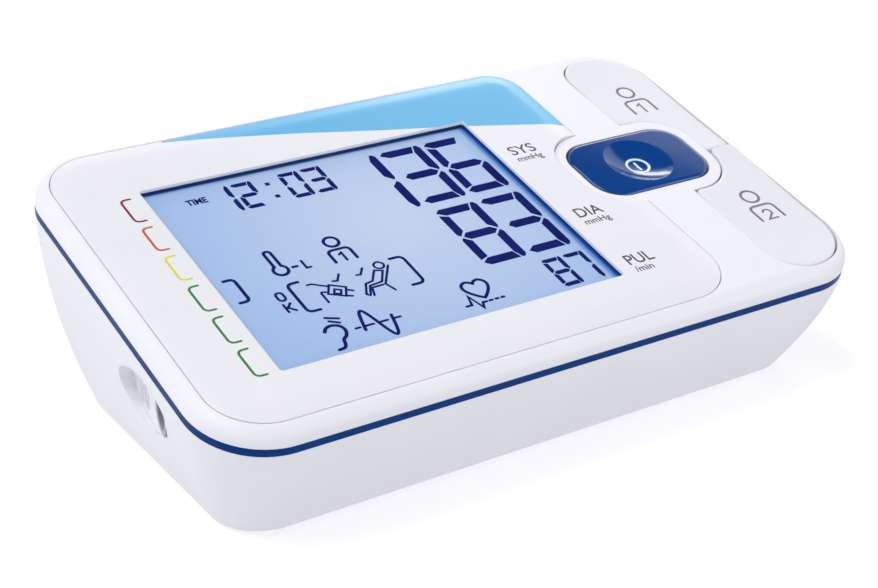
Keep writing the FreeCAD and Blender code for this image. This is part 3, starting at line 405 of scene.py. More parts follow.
def material(name, colour, roughness, ior=1.5, metallic=0.0, **sockets):
    """A material with one shader. The rest of its look is added by its own function."""
    made = bpy.data.materials.new(name)
    made.use_nodes = True
    shader = made.node_tree.nodes["Principled BSDF"]
    shader.inputs["Base Color"].default_value = linear(colour)
    shader.inputs["Roughness"].default_value = roughness
    shader.inputs["IOR"].default_value = ior
    shader.inputs["Metallic"].default_value = metallic
    for socket, value in sockets.items():
        shader.inputs[socket.replace("_", " ").title().replace("Ior", "IOR")].default_value = value
    return made


DRIFT_FROM = 0.35  # shares of the noise between which a material drifts from one colour to the other
DRIFT_TO = 0.65


def mottled(made, colour_a, colour_b, grain_mm, bump, patch_mm=18.0, edge_mm=0.0):
    """Give a material a fine grain as bump, a slow drift between two colours and, on request, soft edges."""
    tree = made.node_tree
    shader = tree.nodes["Principled BSDF"]
    place = add(tree, "ShaderNodeTexCoord").outputs["Object"]
    grain = {"Vector": place, "Scale": 1 / (grain_mm * MM), "Detail": 3.0, "Roughness": 0.6}
    grain = add(tree, "ShaderNodeTexNoise", grain).outputs[0]
    relief = {"Height": grain, "Strength": bump, "Distance": grain_mm * MM}
    if edge_mm:
        relief["Normal"] = add(tree, "ShaderNodeBevel", {"Radius": edge_mm * MM}, samples=4).outputs[0]
    tree.links.new(add(tree, "ShaderNodeBump", relief).outputs[0], shader.inputs["Normal"])
    patches = {"Vector": place, "Scale": 1 / (patch_mm * MM), "Detail": 2.0}
    patches = add(tree, "ShaderNodeTexNoise", patches).outputs[0]
    drift = colour_ramp(tree, patches, ((DRIFT_FROM, colour_a), (DRIFT_TO, colour_b)))
    tree.links.new(drift, shader.inputs["Base Color"])
    return made


# ---------------------------------------------------------------- materials
ABS_IOR = 1.54
EDGE = 0.3  # mm, rounding that a moulded edge has


def abs_spark_eroded(name, colour_a, colour_b):
    """ABS moulded in a spark-eroded tool: soft sheen, with a fine even grain in the highlights."""
    made = material(name, colour_a, 0.42, ABS_IOR)
    return mottled(made, colour_a, colour_b, grain_mm=0.35, bump=0.12, edge_mm=EDGE)


def abs_polished(name, colour_a, colour_b, roughness=0.28):
    """ABS moulded in a polished tool: smoother, with clearer reflections and hardly any grain."""
    made = material(name, colour_a, roughness, ABS_IOR)
    return mottled(made, colour_a, colour_b, grain_mm=0.5, bump=0.03, edge_mm=EDGE)


def abs_blue_gloss(name, colour_a, colour_b, roughness, sheen):
    """ABS dyed through: deep colour under a surface reflection of its own strength."""
    made = material(name, colour_a, roughness, ABS_IOR, specular_ior_level=sheen)
    return mottled(made, colour_a, colour_b, grain_mm=0.8, bump=0.012, edge_mm=EDGE)


def acrylic_clear():
    """Cast acrylic, polished: nearly nothing but a faint reflection."""
    return material("acrylic_clear_polished", "#1b2230", 0.04, ior=1.49, alpha=0.035)


def deck_place(tree, axis):
    """Socket with the place along a deck axis, in the flat drawing's units."""
    place = add(tree, "ShaderNodeTexCoord").outputs["Object"]
    dot = add(tree, "ShaderNodeVectorMath", {0: place, 1: axis}, operation="DOT_PRODUCT").outputs["Value"]
    return maths(tree, "DIVIDE", maths(tree, "SUBTRACT", dot, deck_origin.dot(axis)), UNIT)


GLOW_X = 8  # palest place of the display
GLOW_Y = 6
GLOW_REACH = 62
# Painted shade of the frame: the display's colour darkens to deep blue inside the back and right edges.
SHADE_REACH = 3.2  # the frame's shade inside the back and right edges
SHADE_SHIFT = 1.0
BACK_SHADE = 3.6  # how many times shorter the shade is at the back
PAINTED_SHADE_STEPS = ((0.0, "#1f4f88"), (0.3, "#2f6fc0"), (0.6, "#9cc4f5"), (1.0, "#ffffff"))


def lcd_backlit():
    """Liquid crystal glass over a light guide: the backlight's glow, palest in the middle, is given off and painted
    into its colour; the frame's shade is painted deep blue along the back and right edges.
    """
    look = bpy.context.scene.monitor_display
    made = material("lcd_glass_backlit", "#b9c9ea", 0.35, ior=1.52)
    tree = made.node_tree
    x = deck_place(tree, deck_right)
    y = deck_place(tree, deck_back)
    centred = {0: add(tree, "ShaderNodeCombineXYZ", {0: x, 1: y}).outputs[0], 1: (GLOW_X, GLOW_Y, 0)}
    centred = add(tree, "ShaderNodeVectorMath", centred, operation="SUBTRACT").outputs[0]
    distance = add(tree, "ShaderNodeVectorMath", {0: centred}, operation="LENGTH").outputs["Value"]
    share = maths(tree, "DIVIDE", distance, GLOW_REACH, use_clamp=True)
    glow = mixed(tree, share, [*look.glow_middle, 1], [*look.glow_edge, 1])
    # Painted shade of the frame, fading inwards from the back and right edges.
    to_back = maths(tree, "SUBTRACT", HALF_Y + SHADE_SHIFT / BACK_SHADE, y)
    to_back = maths(tree, "MULTIPLY", to_back, BACK_SHADE)
    to_right = maths(tree, "SUBTRACT", HALF_X + SHADE_SHIFT, x)
    nearest = maths(tree, "SMOOTH_MIN", to_back, to_right, SHADE_REACH / 3)
    depth = maths(tree, "DIVIDE", nearest, SHADE_REACH, use_clamp=True)
    glow_with_painted_shade = mixed(tree, 1.0, glow, colour_ramp(tree, depth, PAINTED_SHADE_STEPS, "EASE"), blend_type="MULTIPLY")
    shader = tree.nodes["Principled BSDF"]
    tree.links.new(glow_with_painted_shade, shader.inputs["Base Color"])
    tree.links.new(glow_with_painted_shade, shader.inputs["Emission Color"])
    shader.inputs["Emission Strength"].default_value = look.backlight
    return made


def ink(name, colour, roughness=0.45):
    """Screen-printed or pad-printed ink: a thin even film, a little duller than the plastic under it."""
    return mottled(material(name, colour, roughness, ior=1.48), colour, colour, grain_mm=0.15, bump=0.05)


def lcd_segment():
    """Liquid crystal turned dark between polarisers: a flat blue-black with no sheen of its own."""
    made = material("lcd_segment_dark", "#1a216a", 0.6, specular_ior_level=0.0)
    return mottled(made, "#192068", "#1e256e", grain_mm=0.3, bump=0.0, patch_mm=6.0)


def rubber(name, colour_a, colour_b):
    """Moulded rubber: dull and slightly mottled."""
    return mottled(material(name, colour_a, 0.75, ior=1.52), colour_a, colour_b, grain_mm=0.4, bump=0.15)


def silicone_hose():
    """Extruded silicone: milky, with a soft sheen and a faint grain."""
    made = material("silicone_extruded", "#e4e4df", 0.5, ior=1.41, subsurface_weight=0.2)
    return mottled(made, "#e4e4df", "#d8d8d2", grain_mm=0.5, bump=0.08)


def metal(name, colour_a, colour_b, roughness):
    """Plated or drawn metal: clear reflections, broken by a fine grain."""
    made = material(name, colour_a, roughness, metallic=1.0)
    return mottled(made, colour_a, colour_b, grain_mm=0.12, bump=0.08, patch_mm=4.0)


WAVE_STRETCH = 3.2  # stretches the texture's own wave to one period


def striped(name, colour_a, colour_b, period_mm, roughness):
    """Two materials in thin layers, such as an elastomer connector."""
    made = material(name, colour_a, roughness, ior=1.45)
    tree = made.node_tree
    place = add(tree, "ShaderNodeTexCoord").outputs["Object"]
    wave = {"Vector": place, "Scale": 1 / (period_mm * MM * WAVE_STRETCH), "Distortion": 0.0}
    wave = add(tree, "ShaderNodeTexWave", wave, bands_direction="X").outputs[0]
    layers = colour_ramp(tree, wave, ((0.0, colour_a), (0.5, colour_b)), "CONSTANT")
    tree.links.new(layers, tree.nodes["Principled BSDF"].inputs["Base Color"])
    return made


def circuit_board():
    """Glass-epoxy board under green solder mask: copper tracks show as slightly paler lines."""
    made = material("fr4_solder_mask", "#0f5a34", 0.35, ior=1.55)
    tree = made.node_tree
    cells = {
        "Vector": add(tree, "ShaderNodeTexCoord").outputs["Object"],
        "Color1": linear("#0e5230"),
        "Color2": linear("#136b3e"),
        "Mortar": linear("#2a8a58"),
        "Scale": 1 / (9 * MM),
        "Mortar Size": 0.03,
    }
    cells = add(tree, "ShaderNodeTexBrick", cells).outputs[0]
    tree.links.new(cells, tree.nodes["Principled BSDF"].inputs["Base Color"])
    return made


# ---------------------------------------------------------------- what a user would change
def colour_property(name, description, default):
    """A colour that starts as an sRGB hex value."""
    colour = linear(default)[:3]
    return FloatVectorProperty(
        name=name, description=description, subtype="COLOR", size=3, min=0, max=1, default=colour
    )


def strength_property(name, description, default, most=100):
    """A strength or a power."""
    return FloatProperty(name=name, description=description, default=default, min=0, max=most)


def text_property(name, description, default):
    """Figures to show, or a colour as an sRGB hex value."""
    return StringProperty(name=name, description=description, default=default)


def angle_property(name, description, degrees):
    """An angle."""
    return FloatProperty(name=name, description=description, subtype="ANGLE", default=math.radians(degrees))


class MonitorDisplay(bpy.types.PropertyGroup):
    """The lit display."""

    glow_middle: colour_property("Middle", "Palest colour of the lit display", "#bbc8e0")
    glow_edge: colour_property("Edge", "Colour of the lit display near its edges", "#98b6de")
    backlight: strength_property("Backlight", "Strength of the display's own light", 0.2, 5)
    systolic: text_property("Systolic", "Upper figure", "136")
    diastolic: text_property("Diastolic", "Middle figure", "83")
    pulse: text_property("Pulse", "Lower figure", "87")
    hours: text_property("Hours", "Hours of the clock", "12")
    minutes: text_property("Minutes", "Minutes of the clock", "03")


class MonitorCase(bpy.types.PropertyGroup):
    """Case colours."""

    white: text_property("White", "Case colour as sRGB hex", "#eeeef3")
    blue: text_property("Blue", "Trim band colour as sRGB hex", "#043a7c")
    button: text_property("Button", "Start button colour as sRGB hex", "#04418a")
    sky: text_property("Sky", "Printed field's colour as sRGB hex", "#62b6e2")


class MonitorStage(bpy.types.PropertyGroup):
    """Floor, light and camera."""

    camera_place: FloatVectorProperty(
        name="Camera",
        description="Camera's place",
        subtype="XYZ",
        unit="LENGTH",
        default=(-0.2029, -0.3073, 0.1911),
    )
    camera_azimuth: angle_property("Azimuth", "Camera's turn about the vertical", -33.01)
    camera_elevation: angle_property("Elevation", "Camera's height angle", 24.63)
    lens: FloatProperty(name="Lens", description="Focal length in millimetres", default=73.8)
    world: strength_property("World", "Strength of the even light", 0.66, 3)
    front: strength_property("Front", "Power of the front light in watts", 3.8)
    back: strength_property("Back", "Power of the back light in watts", 2.0)
    key: strength_property("Key", "Power of the key light in watts", 21.5)


# ---------------------------------------------------------------- dressing the CAD nodes
def paint(finish, *nodes):
    """Give nodes their material."""
    for name in nodes:
        slots = frame["nodes"][name].data.materials
        slots.clear()
        slots.append(finish)


def like(text):
    """Names of the nodes with this text in them."""
    return [name for name in frame["nodes"] if text in name]


class MONITOR_OT_case(bpy.types.Operator):
    """Finish the shells, the face plate, the keys and the buttons"""

    bl_idname = "monitor.case"
    bl_label = "Case"

    def execute(self, context):
        look = context.scene.monitor_case
        shell = abs_spark_eroded("abs_white_spark_eroded", look.white, "#ececf1")
        paint(shell, "lower_shell", "upper_shell", "battery_door")
        paint(abs_spark_eroded("abs_grey_moulded", "#a9a9af", "#a4a4ab"), "cuff_socket")
        paint(abs_polished("abs_white_polished", "#ebebee", "#e9e9ed"), "face_plate")
        paint(abs_polished("abs_white_satin_keys", "#e8e8ec", "#e6e6ea", 0.4), "user_key_1", "user_key_2")
        paint(abs_blue_gloss("abs_blue_trim", look.blue, "#033878", 0.25, 0.05), "trim_band")
        paint(abs_blue_gloss("abs_blue_mirror_polished", look.button, "#043e86", 0.12, 0.5), "start_button")
        paint(acrylic_clear(), "display_window")
        paint(lcd_backlit(), "display_glass")
        return {"FINISHED"}


class MONITOR_OT_inside(bpy.types.Operator):
    """Finish the pieces inside the case and under it"""

    bl_idname = "monitor.inside"
    bl_label = "Inside"

    def execute(self, context):
        paint(rubber("rubber_grey_moulded", "#5c5c62", "#54545a"), *like("foot_"))
        black_rubber = rubber("rubber_black_moulded", "#17171a", "#1e1e22")
        paint(black_rubber, "socket_seal", "pump_mount_left", "pump_mount_right")
        paint(metal("steel_jacketed", "#3f6a52", "#466f58", 0.38), *like("battery_cell"))
        paint(silicone_hose(), *like("_tube"))
        black = abs_spark_eroded("nylon_black_moulded", "#141416", "#1b1b1e")
        paint(black, "power_jack", "buzzer", "controller_chip", "pump_head", "release_valve")
        paint(black, *like("_switch"))
        paint(abs_polished("pom_natural_moulded", "#e6e6df", "#dedfd8"), *like("_stem"))
        paint(rubber("pvc_insulation_red", "#9c1f1f", "#8f1a1a"), *like("_leads"))
        paint(metal("nickel_plated_spring_steel", "#b9b7b0", "#a9a8a2", 0.25), "bridge_contact")
        strip = metal("nickel_plated_strip", "#bcbab4", "#adaba6", 0.28)
        paint(strip, "positive_contact", "negative_contact")
        paint(metal("zinc_plated_steel", "#a9acb2", "#999ca3", 0.35), "board_screws", "case_screws")
        paint(metal("steel_drawn_can", "#9b9da1", "#8c8e93", 0.32), "pump_motor")
        paint(metal("aluminium_drawn_can", "#c3c6ca", "#b5b8bd", 0.3), "capacitor")
        paint(circuit_board(), "main_board")
        paint(striped("elastomer_layered", "#1c1c1f", "#d8c7c9", 0.4, 0.7), "contact_strip")
        paint(abs_polished("acrylic_light_guide", "#e9f0fb", "#dfe9f8", 0.2), "backlight")
        holder = abs_spark_eroded("abs_holder", "#d9d9dc", "#d2d2d6")
        paint(holder, "display_holder", "air_manifold", "pressure_sensor")
        return {"FINISHED"}


# ---------------------------------------------------------------- prints on the deck
SCALE_COLOURS = ("#8c0e1e", "#c2560a", "#dcd62e", "#247f3b", "#247f3b", "#247f3b")
SCALE_TOP = 36.5
SCALE_PITCH = 13.0
SCALE_HEIGHT = 9.95
SCALE_LEFT = -56.2
SCALE_RIGHT = -53.4
SCALE_CORNER = 1.6
SCALE_LINE = 0.66
FIELD_EDGE = ((-34, 58.6), (-20, 55), (3, 49.3), (25, 43), (48.8, 36.8), (77.2, 28.1))
FIELD_COLUMN = 1.5
FIELD_ROWS = 16
FIELD_CROWDING = 1.35  # columns crowd towards the far end, where the plate's corner turns
FIELD_LEAST = 0.02  # least depth of the field
PLATE_CORNER = 8.0  # mm, radius of the face plate's back right corner
PLATE_INSET = 0.15  # prints stop just inside the plate's edge
LABEL_LEFT = 54.0
LABEL_WIDTH = 8.3
LABELS = (
    ("systolic", "SYS", 18.8, "mmHg", 15.5, 8.3),
    ("diastolic", "DIA", -13.3, "mmHg", -16.7, 8.3),
    ("pulse", "PUL", -36.0, "/min", -39.2, 5.8),
)
LABEL_HEIGHT = 4.0
LABEL_BOLDNESS = 0.006
UNIT_HEIGHT = 2.3
UNIT_BOLDNESS = 0.01


def plate_edge_back(x, left, right, back, corner):
    """How far back the plate reaches at x, with its rounded corners."""
    over = max(left + corner - x, x - (right - corner), 0)
    return back - corner + math.sqrt(max(0, corner**2 - over**2))


def field_height(x):
    """Front edge of the printed field at x."""
    for (x0, y0), (x1, y1) in zip(FIELD_EDGE, FIELD_EDGE[1:]):
        if x <= x1:
            return y0 + (y1 - y0) * (x - x0) / (x1 - x0)
    return FIELD_EDGE[-1][1]


def field_shapes():
    """The printed field at the plate's back, as a fine grid that follows the plate's soft edge."""
    middle = deck_origin.dot(deck_right) / UNIT
    left, right = (place / UNIT for place in along("face_plate", deck_right))
    left, right = left - middle + PLATE_INSET, right - middle - PLATE_INSET
    back = (along("face_plate", deck_back)[1] - deck_origin.dot(deck_back)) / UNIT - PLATE_INSET
    corner = PLATE_CORNER * MM / UNIT
    start = FIELD_EDGE[0][0]
    beside = HALF_X + PLATE_INSET
    shapes = []
    for first, last, floor in ((start, beside, HALF_Y + PLATE_INSET), (beside, right, -HALF_Y)):
        count = math.ceil((last - first) / FIELD_COLUMN)
        columns = []
        for column in range(count + 1):
            x = first + (last - first) * (1 - (1 - column / count) ** FIELD_CROWDING)
            low = max(field_height(x), floor)
            high = max(plate_edge_back(x, left, right, back, corner), low + FIELD_LEAST)
            columns.append([(x, low + (high - low) * row / FIELD_ROWS) for row in range(FIELD_ROWS + 1)])
        for near, far in zip(columns, columns[1:]):
            for row in range(FIELD_ROWS):
                shapes.append([near[row], far[row], far[row + 1], near[row + 1]])
    return shapes


class MONITOR_OT_prints(bpy.types.Operator):
    """Print the coloured scale, the labels and the sky-blue field on the face plate"""

    bl_idname = "monitor.prints"
    bl_label = "Prints"

    def execute(self, context):
        look = context.scene.monitor_case
        for number, colour in enumerate(SCALE_COLOURS):
            top = SCALE_TOP - SCALE_PITCH * number
            low = top - SCALE_HEIGHT
            corners = [(SCALE_RIGHT, top), (SCALE_LEFT, top), (SCALE_LEFT, low), (SCALE_RIGHT, low)]
            shapes = stroke(rounded(corners, SCALE_CORNER), SCALE_LINE)
            made = ink(f"screen_print_scale_{number + 1}", colour)
            print_on(f"scale_bracket_{number + 1}", shapes, "face_plate", "case", made, "white_plate")
        grey = ink("screen_print_grey", "#3c3c42")
        for name, text, base, unit_text, unit_base, unit_width in LABELS:
            shapes = letters(text, LABEL_LEFT, base, LABEL_HEIGHT, LABEL_WIDTH, LABEL_BOLDNESS)
            shapes += letters(unit_text, LABEL_LEFT, unit_base, UNIT_HEIGHT, unit_width, UNIT_BOLDNESS)
            print_on(f"label_{name}", shapes, "face_plate", "case", grey, "white_plate")
        sky = ink("screen_print_sky", look.sky, 0.3)
        print_on("sky_field", field_shapes(), "face_plate", "case", sky, "white_plate")
        return {"FINISHED"}


# ---------------------------------------------------------------- figures and signs on the display
SHIFT_X = 1.6  # the display's drawing lies this far right of the window's middle, and back of it
SHIFT_Y = 2.05
DIGITS = {
    "0": "abcdef",
    "1": "bc",
    "2": "abged",
    "3": "abgcd",
    "4": "fgbc",
    "5": "afgcd",
    "6": "afgedc",
    "7": "abc",
    "8": "abcdefg",
    "9": "abcdfg",
}
SEGMENT_FILM = 0.04 * MM
SIGN_LINE = 0.88
HEAVY_LINE = SIGN_LINE * 1.05
LIGHT_LINE = SIGN_LINE * 0.85
FINE_LINE = SIGN_LINE * 0.8
THIN_LINE = SIGN_LINE * 0.72
NUMBER_SHARE = 0.8  # a number inside a sign is drawn this much finer than the sign
FIGURE_HEIGHT = 25.9
FIGURE_WIDTH = 13.0
FIGURE_BAR = 2.7
FIGURE_PITCH = 14.3
FIGURE_RIGHT = 45.5
PULSE_HEIGHT = 11.8
PULSE_WIDTH = 6.1
PULSE_BAR = 1.3
PULSE_PITCH = 6.9
CLOCK_HEIGHT = 11.6
CLOCK_WIDTH = 6.0
CLOCK_BAR = 1.35
CLOCK_PITCH = 6.9
CLOCK_DOT = 0.65
CLOCK_DOT_X = -17.3
CLOCK_DOT_Y = (30.7, 24.8)
CLOCK_BASE = 22.1
HOURS_RIGHT = -21.1
MINUTES_RIGHT = -0.3
SYSTOLIC_BASE = 7.2
DIASTOLIC_BASE = -22.1
PULSE_BASE = -37.4


def segments(width, height, bar):
    """The seven bars of a figure, from its lower left corner. The right bars own the right corners."""
    w, h, k = width, height, bar
    m = h / 2
    return {
        "a": [
            (0, h - k / 2),
            (k / 2, h),
            (w - 0.78 * k, h),
            (w - 1.2 * k, h - 1.1 * k),
            (0.85 * k, h - 1.1 * k),
        ],
        "b": [
            (w - 0.6 * k, h),
            (w - 0.27 * k, h),
            (w, h - 0.42 * k),
            (w, m + 0.55 * k),
            (w - 0.22 * k, m + 0.13 * k),
            (w - k, m + k),
            (w - k, h - 1.03 * k),
        ],
        "c": [
            (w - 0.22 * k, m - 0.13 * k),
            (w, m - 0.55 * k),
            (w, 0.42 * k),
            (w - 0.27 * k, 0),
            (w - 0.6 * k, 0),
            (w - k, 1.03 * k),
            (w - k, m - 0.9 * k),
        ],
        "d": [
            (0.04 * k, 0.52 * k),
            (0.8 * k, 1.1 * k),
            (w - 1.15 * k, 1.1 * k),
            (w - 0.8 * k, 0),
            (0.6 * k, 0),
        ],
        "e": [
            (0.27 * k, m - 0.13 * k),
            (0.96 * k, m - 0.82 * k),
            (0.96 * k, 1.3 * k),
            (0, 0.95 * k),
            (0, m - 0.5 * k),
        ],
        "f": [
            (0, h - 0.95 * k),
            (0.96 * k, h - 1.35 * k),
            (0.96 * k, m + 0.9 * k),
            (0.27 * k, m + 0.13 * k),
            (0, m + 0.5 * k),
        ],
        "g": [
            (0.5 * k, m),
            (k, m + 0.55 * k),
            (w - k, m + 0.55 * k),
            (w - 0.42 * k, m),
            (w - k, m - 0.55 * k),
            (k, m - 0.55 * k),
        ],
    }


def figures(text, right, base, width, height, bar, pitch):
    """Seven-bar figures that end at a right-hand edge."""
    bars = segments(width, height, bar)
    shapes = []
    for place, digit in enumerate(reversed(text)):
        left = right - width - place * pitch
        shapes += moved([bars[name] for name in DIGITS[digit]], left, base)
    return shapes


def sign_thermometer():
    """A thermometer with the letter for low beside it."""
    stem = 0.95
    bulb = 1.95
    lean = math.degrees(math.acos(stem / bulb))
    path = arc(-32, 2.9, stem, 0, 180, 10) + arc(-32, -4.4, bulb, 180 - lean, 360 + lean, 28)
    shapes = stroke(path, SIGN_LINE, True)
    shapes += stroke([(-28.6, -4.3), (-27.4, -4.3)], SIGN_LINE)
    return shapes + stroke([(-25.4, -2.7), (-25.4, -5.8), (-24.2, -5.8)], FINE_LINE)


def sign_user(x, y, line, scale=1.0, number="1"):
    """Head and shoulders with a number, from the middle of the head."""
    half = 3.1 * scale
    top = y - 3.3 * scale
    low = y - 8.2 * scale
    body = rounded([(x - half, low), (x - half, top), (x + half, top), (x + half, low)], 1.5 * scale)
    if number == "1":
        stem = x + 0.15 * scale
        digit = [(x - 0.75 * scale, y - 5.5 * scale), (stem, y - 4.9 * scale), (stem, low)]
    else:
        digit = arc(x, y - 6.0 * scale, 1.0 * scale, 160, -30, 12)
        digit += [(x - 1.1 * scale, low), (x + 1.25 * scale, low)]
    shapes = stroke(arc(x, y, 2.0 * scale, 0, 360, 32), line, True) + stroke(body, line)
    return shapes + stroke(digit, line * NUMBER_SHARE)


def sign_ok():
    """The two letters for all in order, one over the other."""
    ring = arc(-37.2, -13.3, 0.95, 0, 180, 10) + arc(-37.2, -14.6, 0.95, 180, 360, 10)
    shapes = stroke(ring, FINE_LINE, True)
    upright = [(-38.1, -17.0), (-38.1, -20.0)]
    arm = [(-36.2, -17.0), (-37.6, -18.5)]
    leg = [(-37.5, -18.4), (-36.0, -20.0)]
    return shapes + stroke(upright, FINE_LINE) + stroke(arm, FINE_LINE) + stroke(leg, FINE_LINE)


def sign_brackets():
    """The brackets round the cuff and posture signs."""
    left = rounded([(-30.4, -10.2), (-33.7, -10.2), (-33.7, -21.9), (-30.4, -21.9)], 1.7)
    right = rounded([(-4.0, -10.3), (-0.4, -10.3), (-0.4, -21.9), (-4.0, -21.9)], 1.7)
    return stroke(left, SIGN_LINE) + stroke(right, SIGN_LINE)


def sign_level():
    """The bracket that marks the reading's place on the coloured scale."""
    return stroke(rounded([(-47.4, -3.3), (-44.7, -3.3), (-44.7, -12.5), (-47.4, -12.5)], 1.4), HEAVY_LINE)


def sign_cuff():
    """A cuff on a bent arm."""
    shapes = stroke(smooth([(-28.9, -12.2), (-27.6, -12.3), (-26.0, -13.4), (-24.1, -14.6)]), THIN_LINE)
    outer = [(-23.8, -14.1), (-20.2, -16.4), (-21.9, -19.6), (-25.7, -17.3)]
    inner = [(-23.3, -16.1), (-21.9, -17.0), (-22.7, -18.4), (-24.2, -17.6)]
    shapes += stroke(outer, THIN_LINE, True) + stroke(inner, THIN_LINE, True)
    shapes += stroke([(-20.3, -17.6), (-19.2, -18.3)], THIN_LINE)
    shapes += stroke([(-21.4, -19.7), (-20.4, -20.2)], THIN_LINE)
    shapes += stroke(rounded([(-27.2, -20.2), (-27.2, -15.9), (-25.9, -16.4)], 0.8), THIN_LINE)
    return shapes + stroke([(-22.1, -13.1), (-20.9, -13.4), (-19.3, -11.1)], THIN_LINE)


def sign_posture():
    """A person who sits and leans back."""
    shapes = stroke(arc(-7.9, -11.6, 1.35, 0, 360, 28), THIN_LINE, True)
    shapes += stroke([(-5.7, -12.5), (-10.2, -18.9), (-9.1, -22.0)], THIN_LINE)
    torso = [(-8.1, -13.9), (-10.1, -13.0), (-12.7, -16.7), (-14.9, -17.1), (-16.9, -20.9)]
    torso += [(-16.2, -21.6), (-15.8, -21.1), (-14.3, -18.2), (-10.6, -17.8)]
    shapes += stroke(torso, THIN_LINE, True)
    shapes += stroke([(-10.9, -19.0), (-14.2, -19.1), (-15.2, -22.0)], THIN_LINE)
    return shapes + stroke([(-15.3, -13.1), (-14.2, -13.3), (-12.5, -11.1)], THIN_LINE)


def sign_rest():
    """An ear that listens, for keeping quiet."""
    ear = [(-33.9, -30.1), (-32.9, -28.9), (-31.2, -28.5), (-29.4, -29.3), (-28.8, -31.2), (-29.6, -33.1)]
    ear += [(-30.9, -34.2), (-31.4, -35.8), (-32.2, -37.0), (-33.9, -37.3)]
    shapes = stroke(smooth(ear), HEAVY_LINE)
    for drop in (0.0, 1.5):
        wave = [(-31.2 + drop * 0.2, -25.3 - drop), (-28.1 - drop * 0.4, -26.7 - drop)]
        shapes += stroke(wave, LIGHT_LINE)
    return shapes


def sign_wave():
    """A pressure wave across its dashed mean line."""
    middle_x, middle_y, half_width, half_height = -19.8, -31.7, 4.4, 5.6
    reach = 1.08  # half turns of the wave on either side of its middle
    half_steps = 28
    path = []
    for step in range(-half_steps, half_steps + 1):
        share = step / half_steps
        drop = half_height * math.sin(share * reach * math.pi)
        path.append((middle_x + half_width * share, middle_y - drop))
    shapes = stroke(path, SIGN_LINE)
    for start, end in ((-26.2, -25.0), (-24.0, -21.2), (-19.6, -17.2), (-15.4, -13.6)):
        shapes += stroke([(start, middle_y), (end, middle_y)], FINE_LINE)
    return shapes


def sign_heart():
    """A heart over its beat."""
    middle = 10.4
    side = [(0, -27.2), (0.8, -26.4), (2.0, -26.1), (3.2, -26.9)]
    side += [(3.6, -28.4), (2.9, -30.2), (1.4, -32.0), (0, -33.2)]
    right = smooth([(middle + x, y) for x, y in side])
    left = smooth([(middle - x, y) for x, y in reversed(side)])
    shapes = stroke(right + left[1:], SIGN_LINE, True)
    beat = [(3.9, -34.7), (5.5, -34.7), (6.4, -31.3), (7.9, -36.6), (8.7, -34.7), (9.9, -34.7)]
    shapes += stroke(beat, LIGHT_LINE)
    for start in (10.8, 12.6, 14.4):
        shapes += stroke([(start, -34.7), (start + 0.75, -34.7)], LIGHT_LINE)
    return shapes


def clock(hours, minutes):
    """The time of day, with its word."""
    size = (CLOCK_WIDTH, CLOCK_HEIGHT, CLOCK_BAR, CLOCK_PITCH)
    shapes = figures(hours, HOURS_RIGHT, CLOCK_BASE, *size)
    shapes += figures(minutes, MINUTES_RIGHT, CLOCK_BASE, *size)
    left, right = CLOCK_DOT_X - CLOCK_DOT, CLOCK_DOT_X + CLOCK_DOT
    for y in CLOCK_DOT_Y:
        low, high = y - CLOCK_DOT, y + CLOCK_DOT
        shapes.append([(left, low), (right, low), (right, high), (left, high)])
    return shapes + letters("TIME", -41.2, 28.8, 2.4, 5.8, 0.03)


class MONITOR_OT_display(bpy.types.Operator):
    """Draw the figures and signs on the lit display"""

    bl_idname = "monitor.display"
    bl_label = "Display"

    def execute(self, context):
        look = context.scene.monitor_display
        big = (FIGURE_WIDTH, FIGURE_HEIGHT, FIGURE_BAR, FIGURE_PITCH)
        small = (PULSE_WIDTH, PULSE_HEIGHT, PULSE_BAR, PULSE_PITCH)
        drawings = {
            "figures_systolic": figures(look.systolic, FIGURE_RIGHT, SYSTOLIC_BASE, *big),
            "figures_diastolic": figures(look.diastolic, FIGURE_RIGHT, DIASTOLIC_BASE, *big),
            "figures_pulse": figures(look.pulse, FIGURE_RIGHT, PULSE_BASE, *small),
            "clock_figures": clock(look.hours, look.minutes),
            "sign_thermometer": sign_thermometer(),
            "sign_user": sign_user(-14.3, 1.6, SIGN_LINE),
            "sign_ok": sign_ok(),
            "sign_brackets": sign_brackets(),
            "sign_level": sign_level(),
            "sign_cuff": sign_cuff(),
            "sign_posture": sign_posture(),
            "sign_rest": sign_rest(),
            "sign_wave": sign_wave(),
            "sign_heart": sign_heart(),
        }
        made = lcd_segment()
        for name, shapes in drawings.items():
            placed = moved(shapes, SHIFT_X, SHIFT_Y)
            print_on(name, placed, "display_glass", "case", made, "display_glass", thickness=SEGMENT_FILM)
        return {"FINISHED"}


# ---------------------------------------------------------------- marks on the buttons and by the socket
USER_MARK_X = 107.5
USER_MARK_SCALE = 1.3
USER_MARK_LINE = 0.8
USER_1_Y = 36.9
USER_2_Y = -21.4
POWER_X = 88.1
POWER_Y = 4.75
POWER_RADIUS = 3.25
POWER_LINE = 0.8
POWER_BAR = 1.65
FINE = 0.6  # longest run of a line on a curved surface
CUFF_MARK_BACK = 11.6  # mm, how far the raised mark lies behind the cuff socket, and above it
CUFF_MARK_UP = -0.5
CUFF_MARK_LINE = 0.4
CUFF_MARK_HEIGHT = 0.12 * MM


def cuff_mark():
    """A rolled cuff with its hose, as moulded beside the socket."""
    outer = rounded([(-2.4, -3.4), (-2.4, 3.0), (1.6, 3.0), (1.6, -2.2)], 1.7)
    inner = rounded([(-1.1, -3.0), (-1.1, 1.5), (0.4, 1.5), (0.4, -2.6)], 0.7)
    hose = rounded([(1.6, -2.2), (1.6, -3.4), (2.9, -3.4), (2.9, 0.6)], 0.6)
    return [shape for path in (outer, inner, hose) for shape in stroke(divided(path, FINE), CUFF_MARK_LINE)]


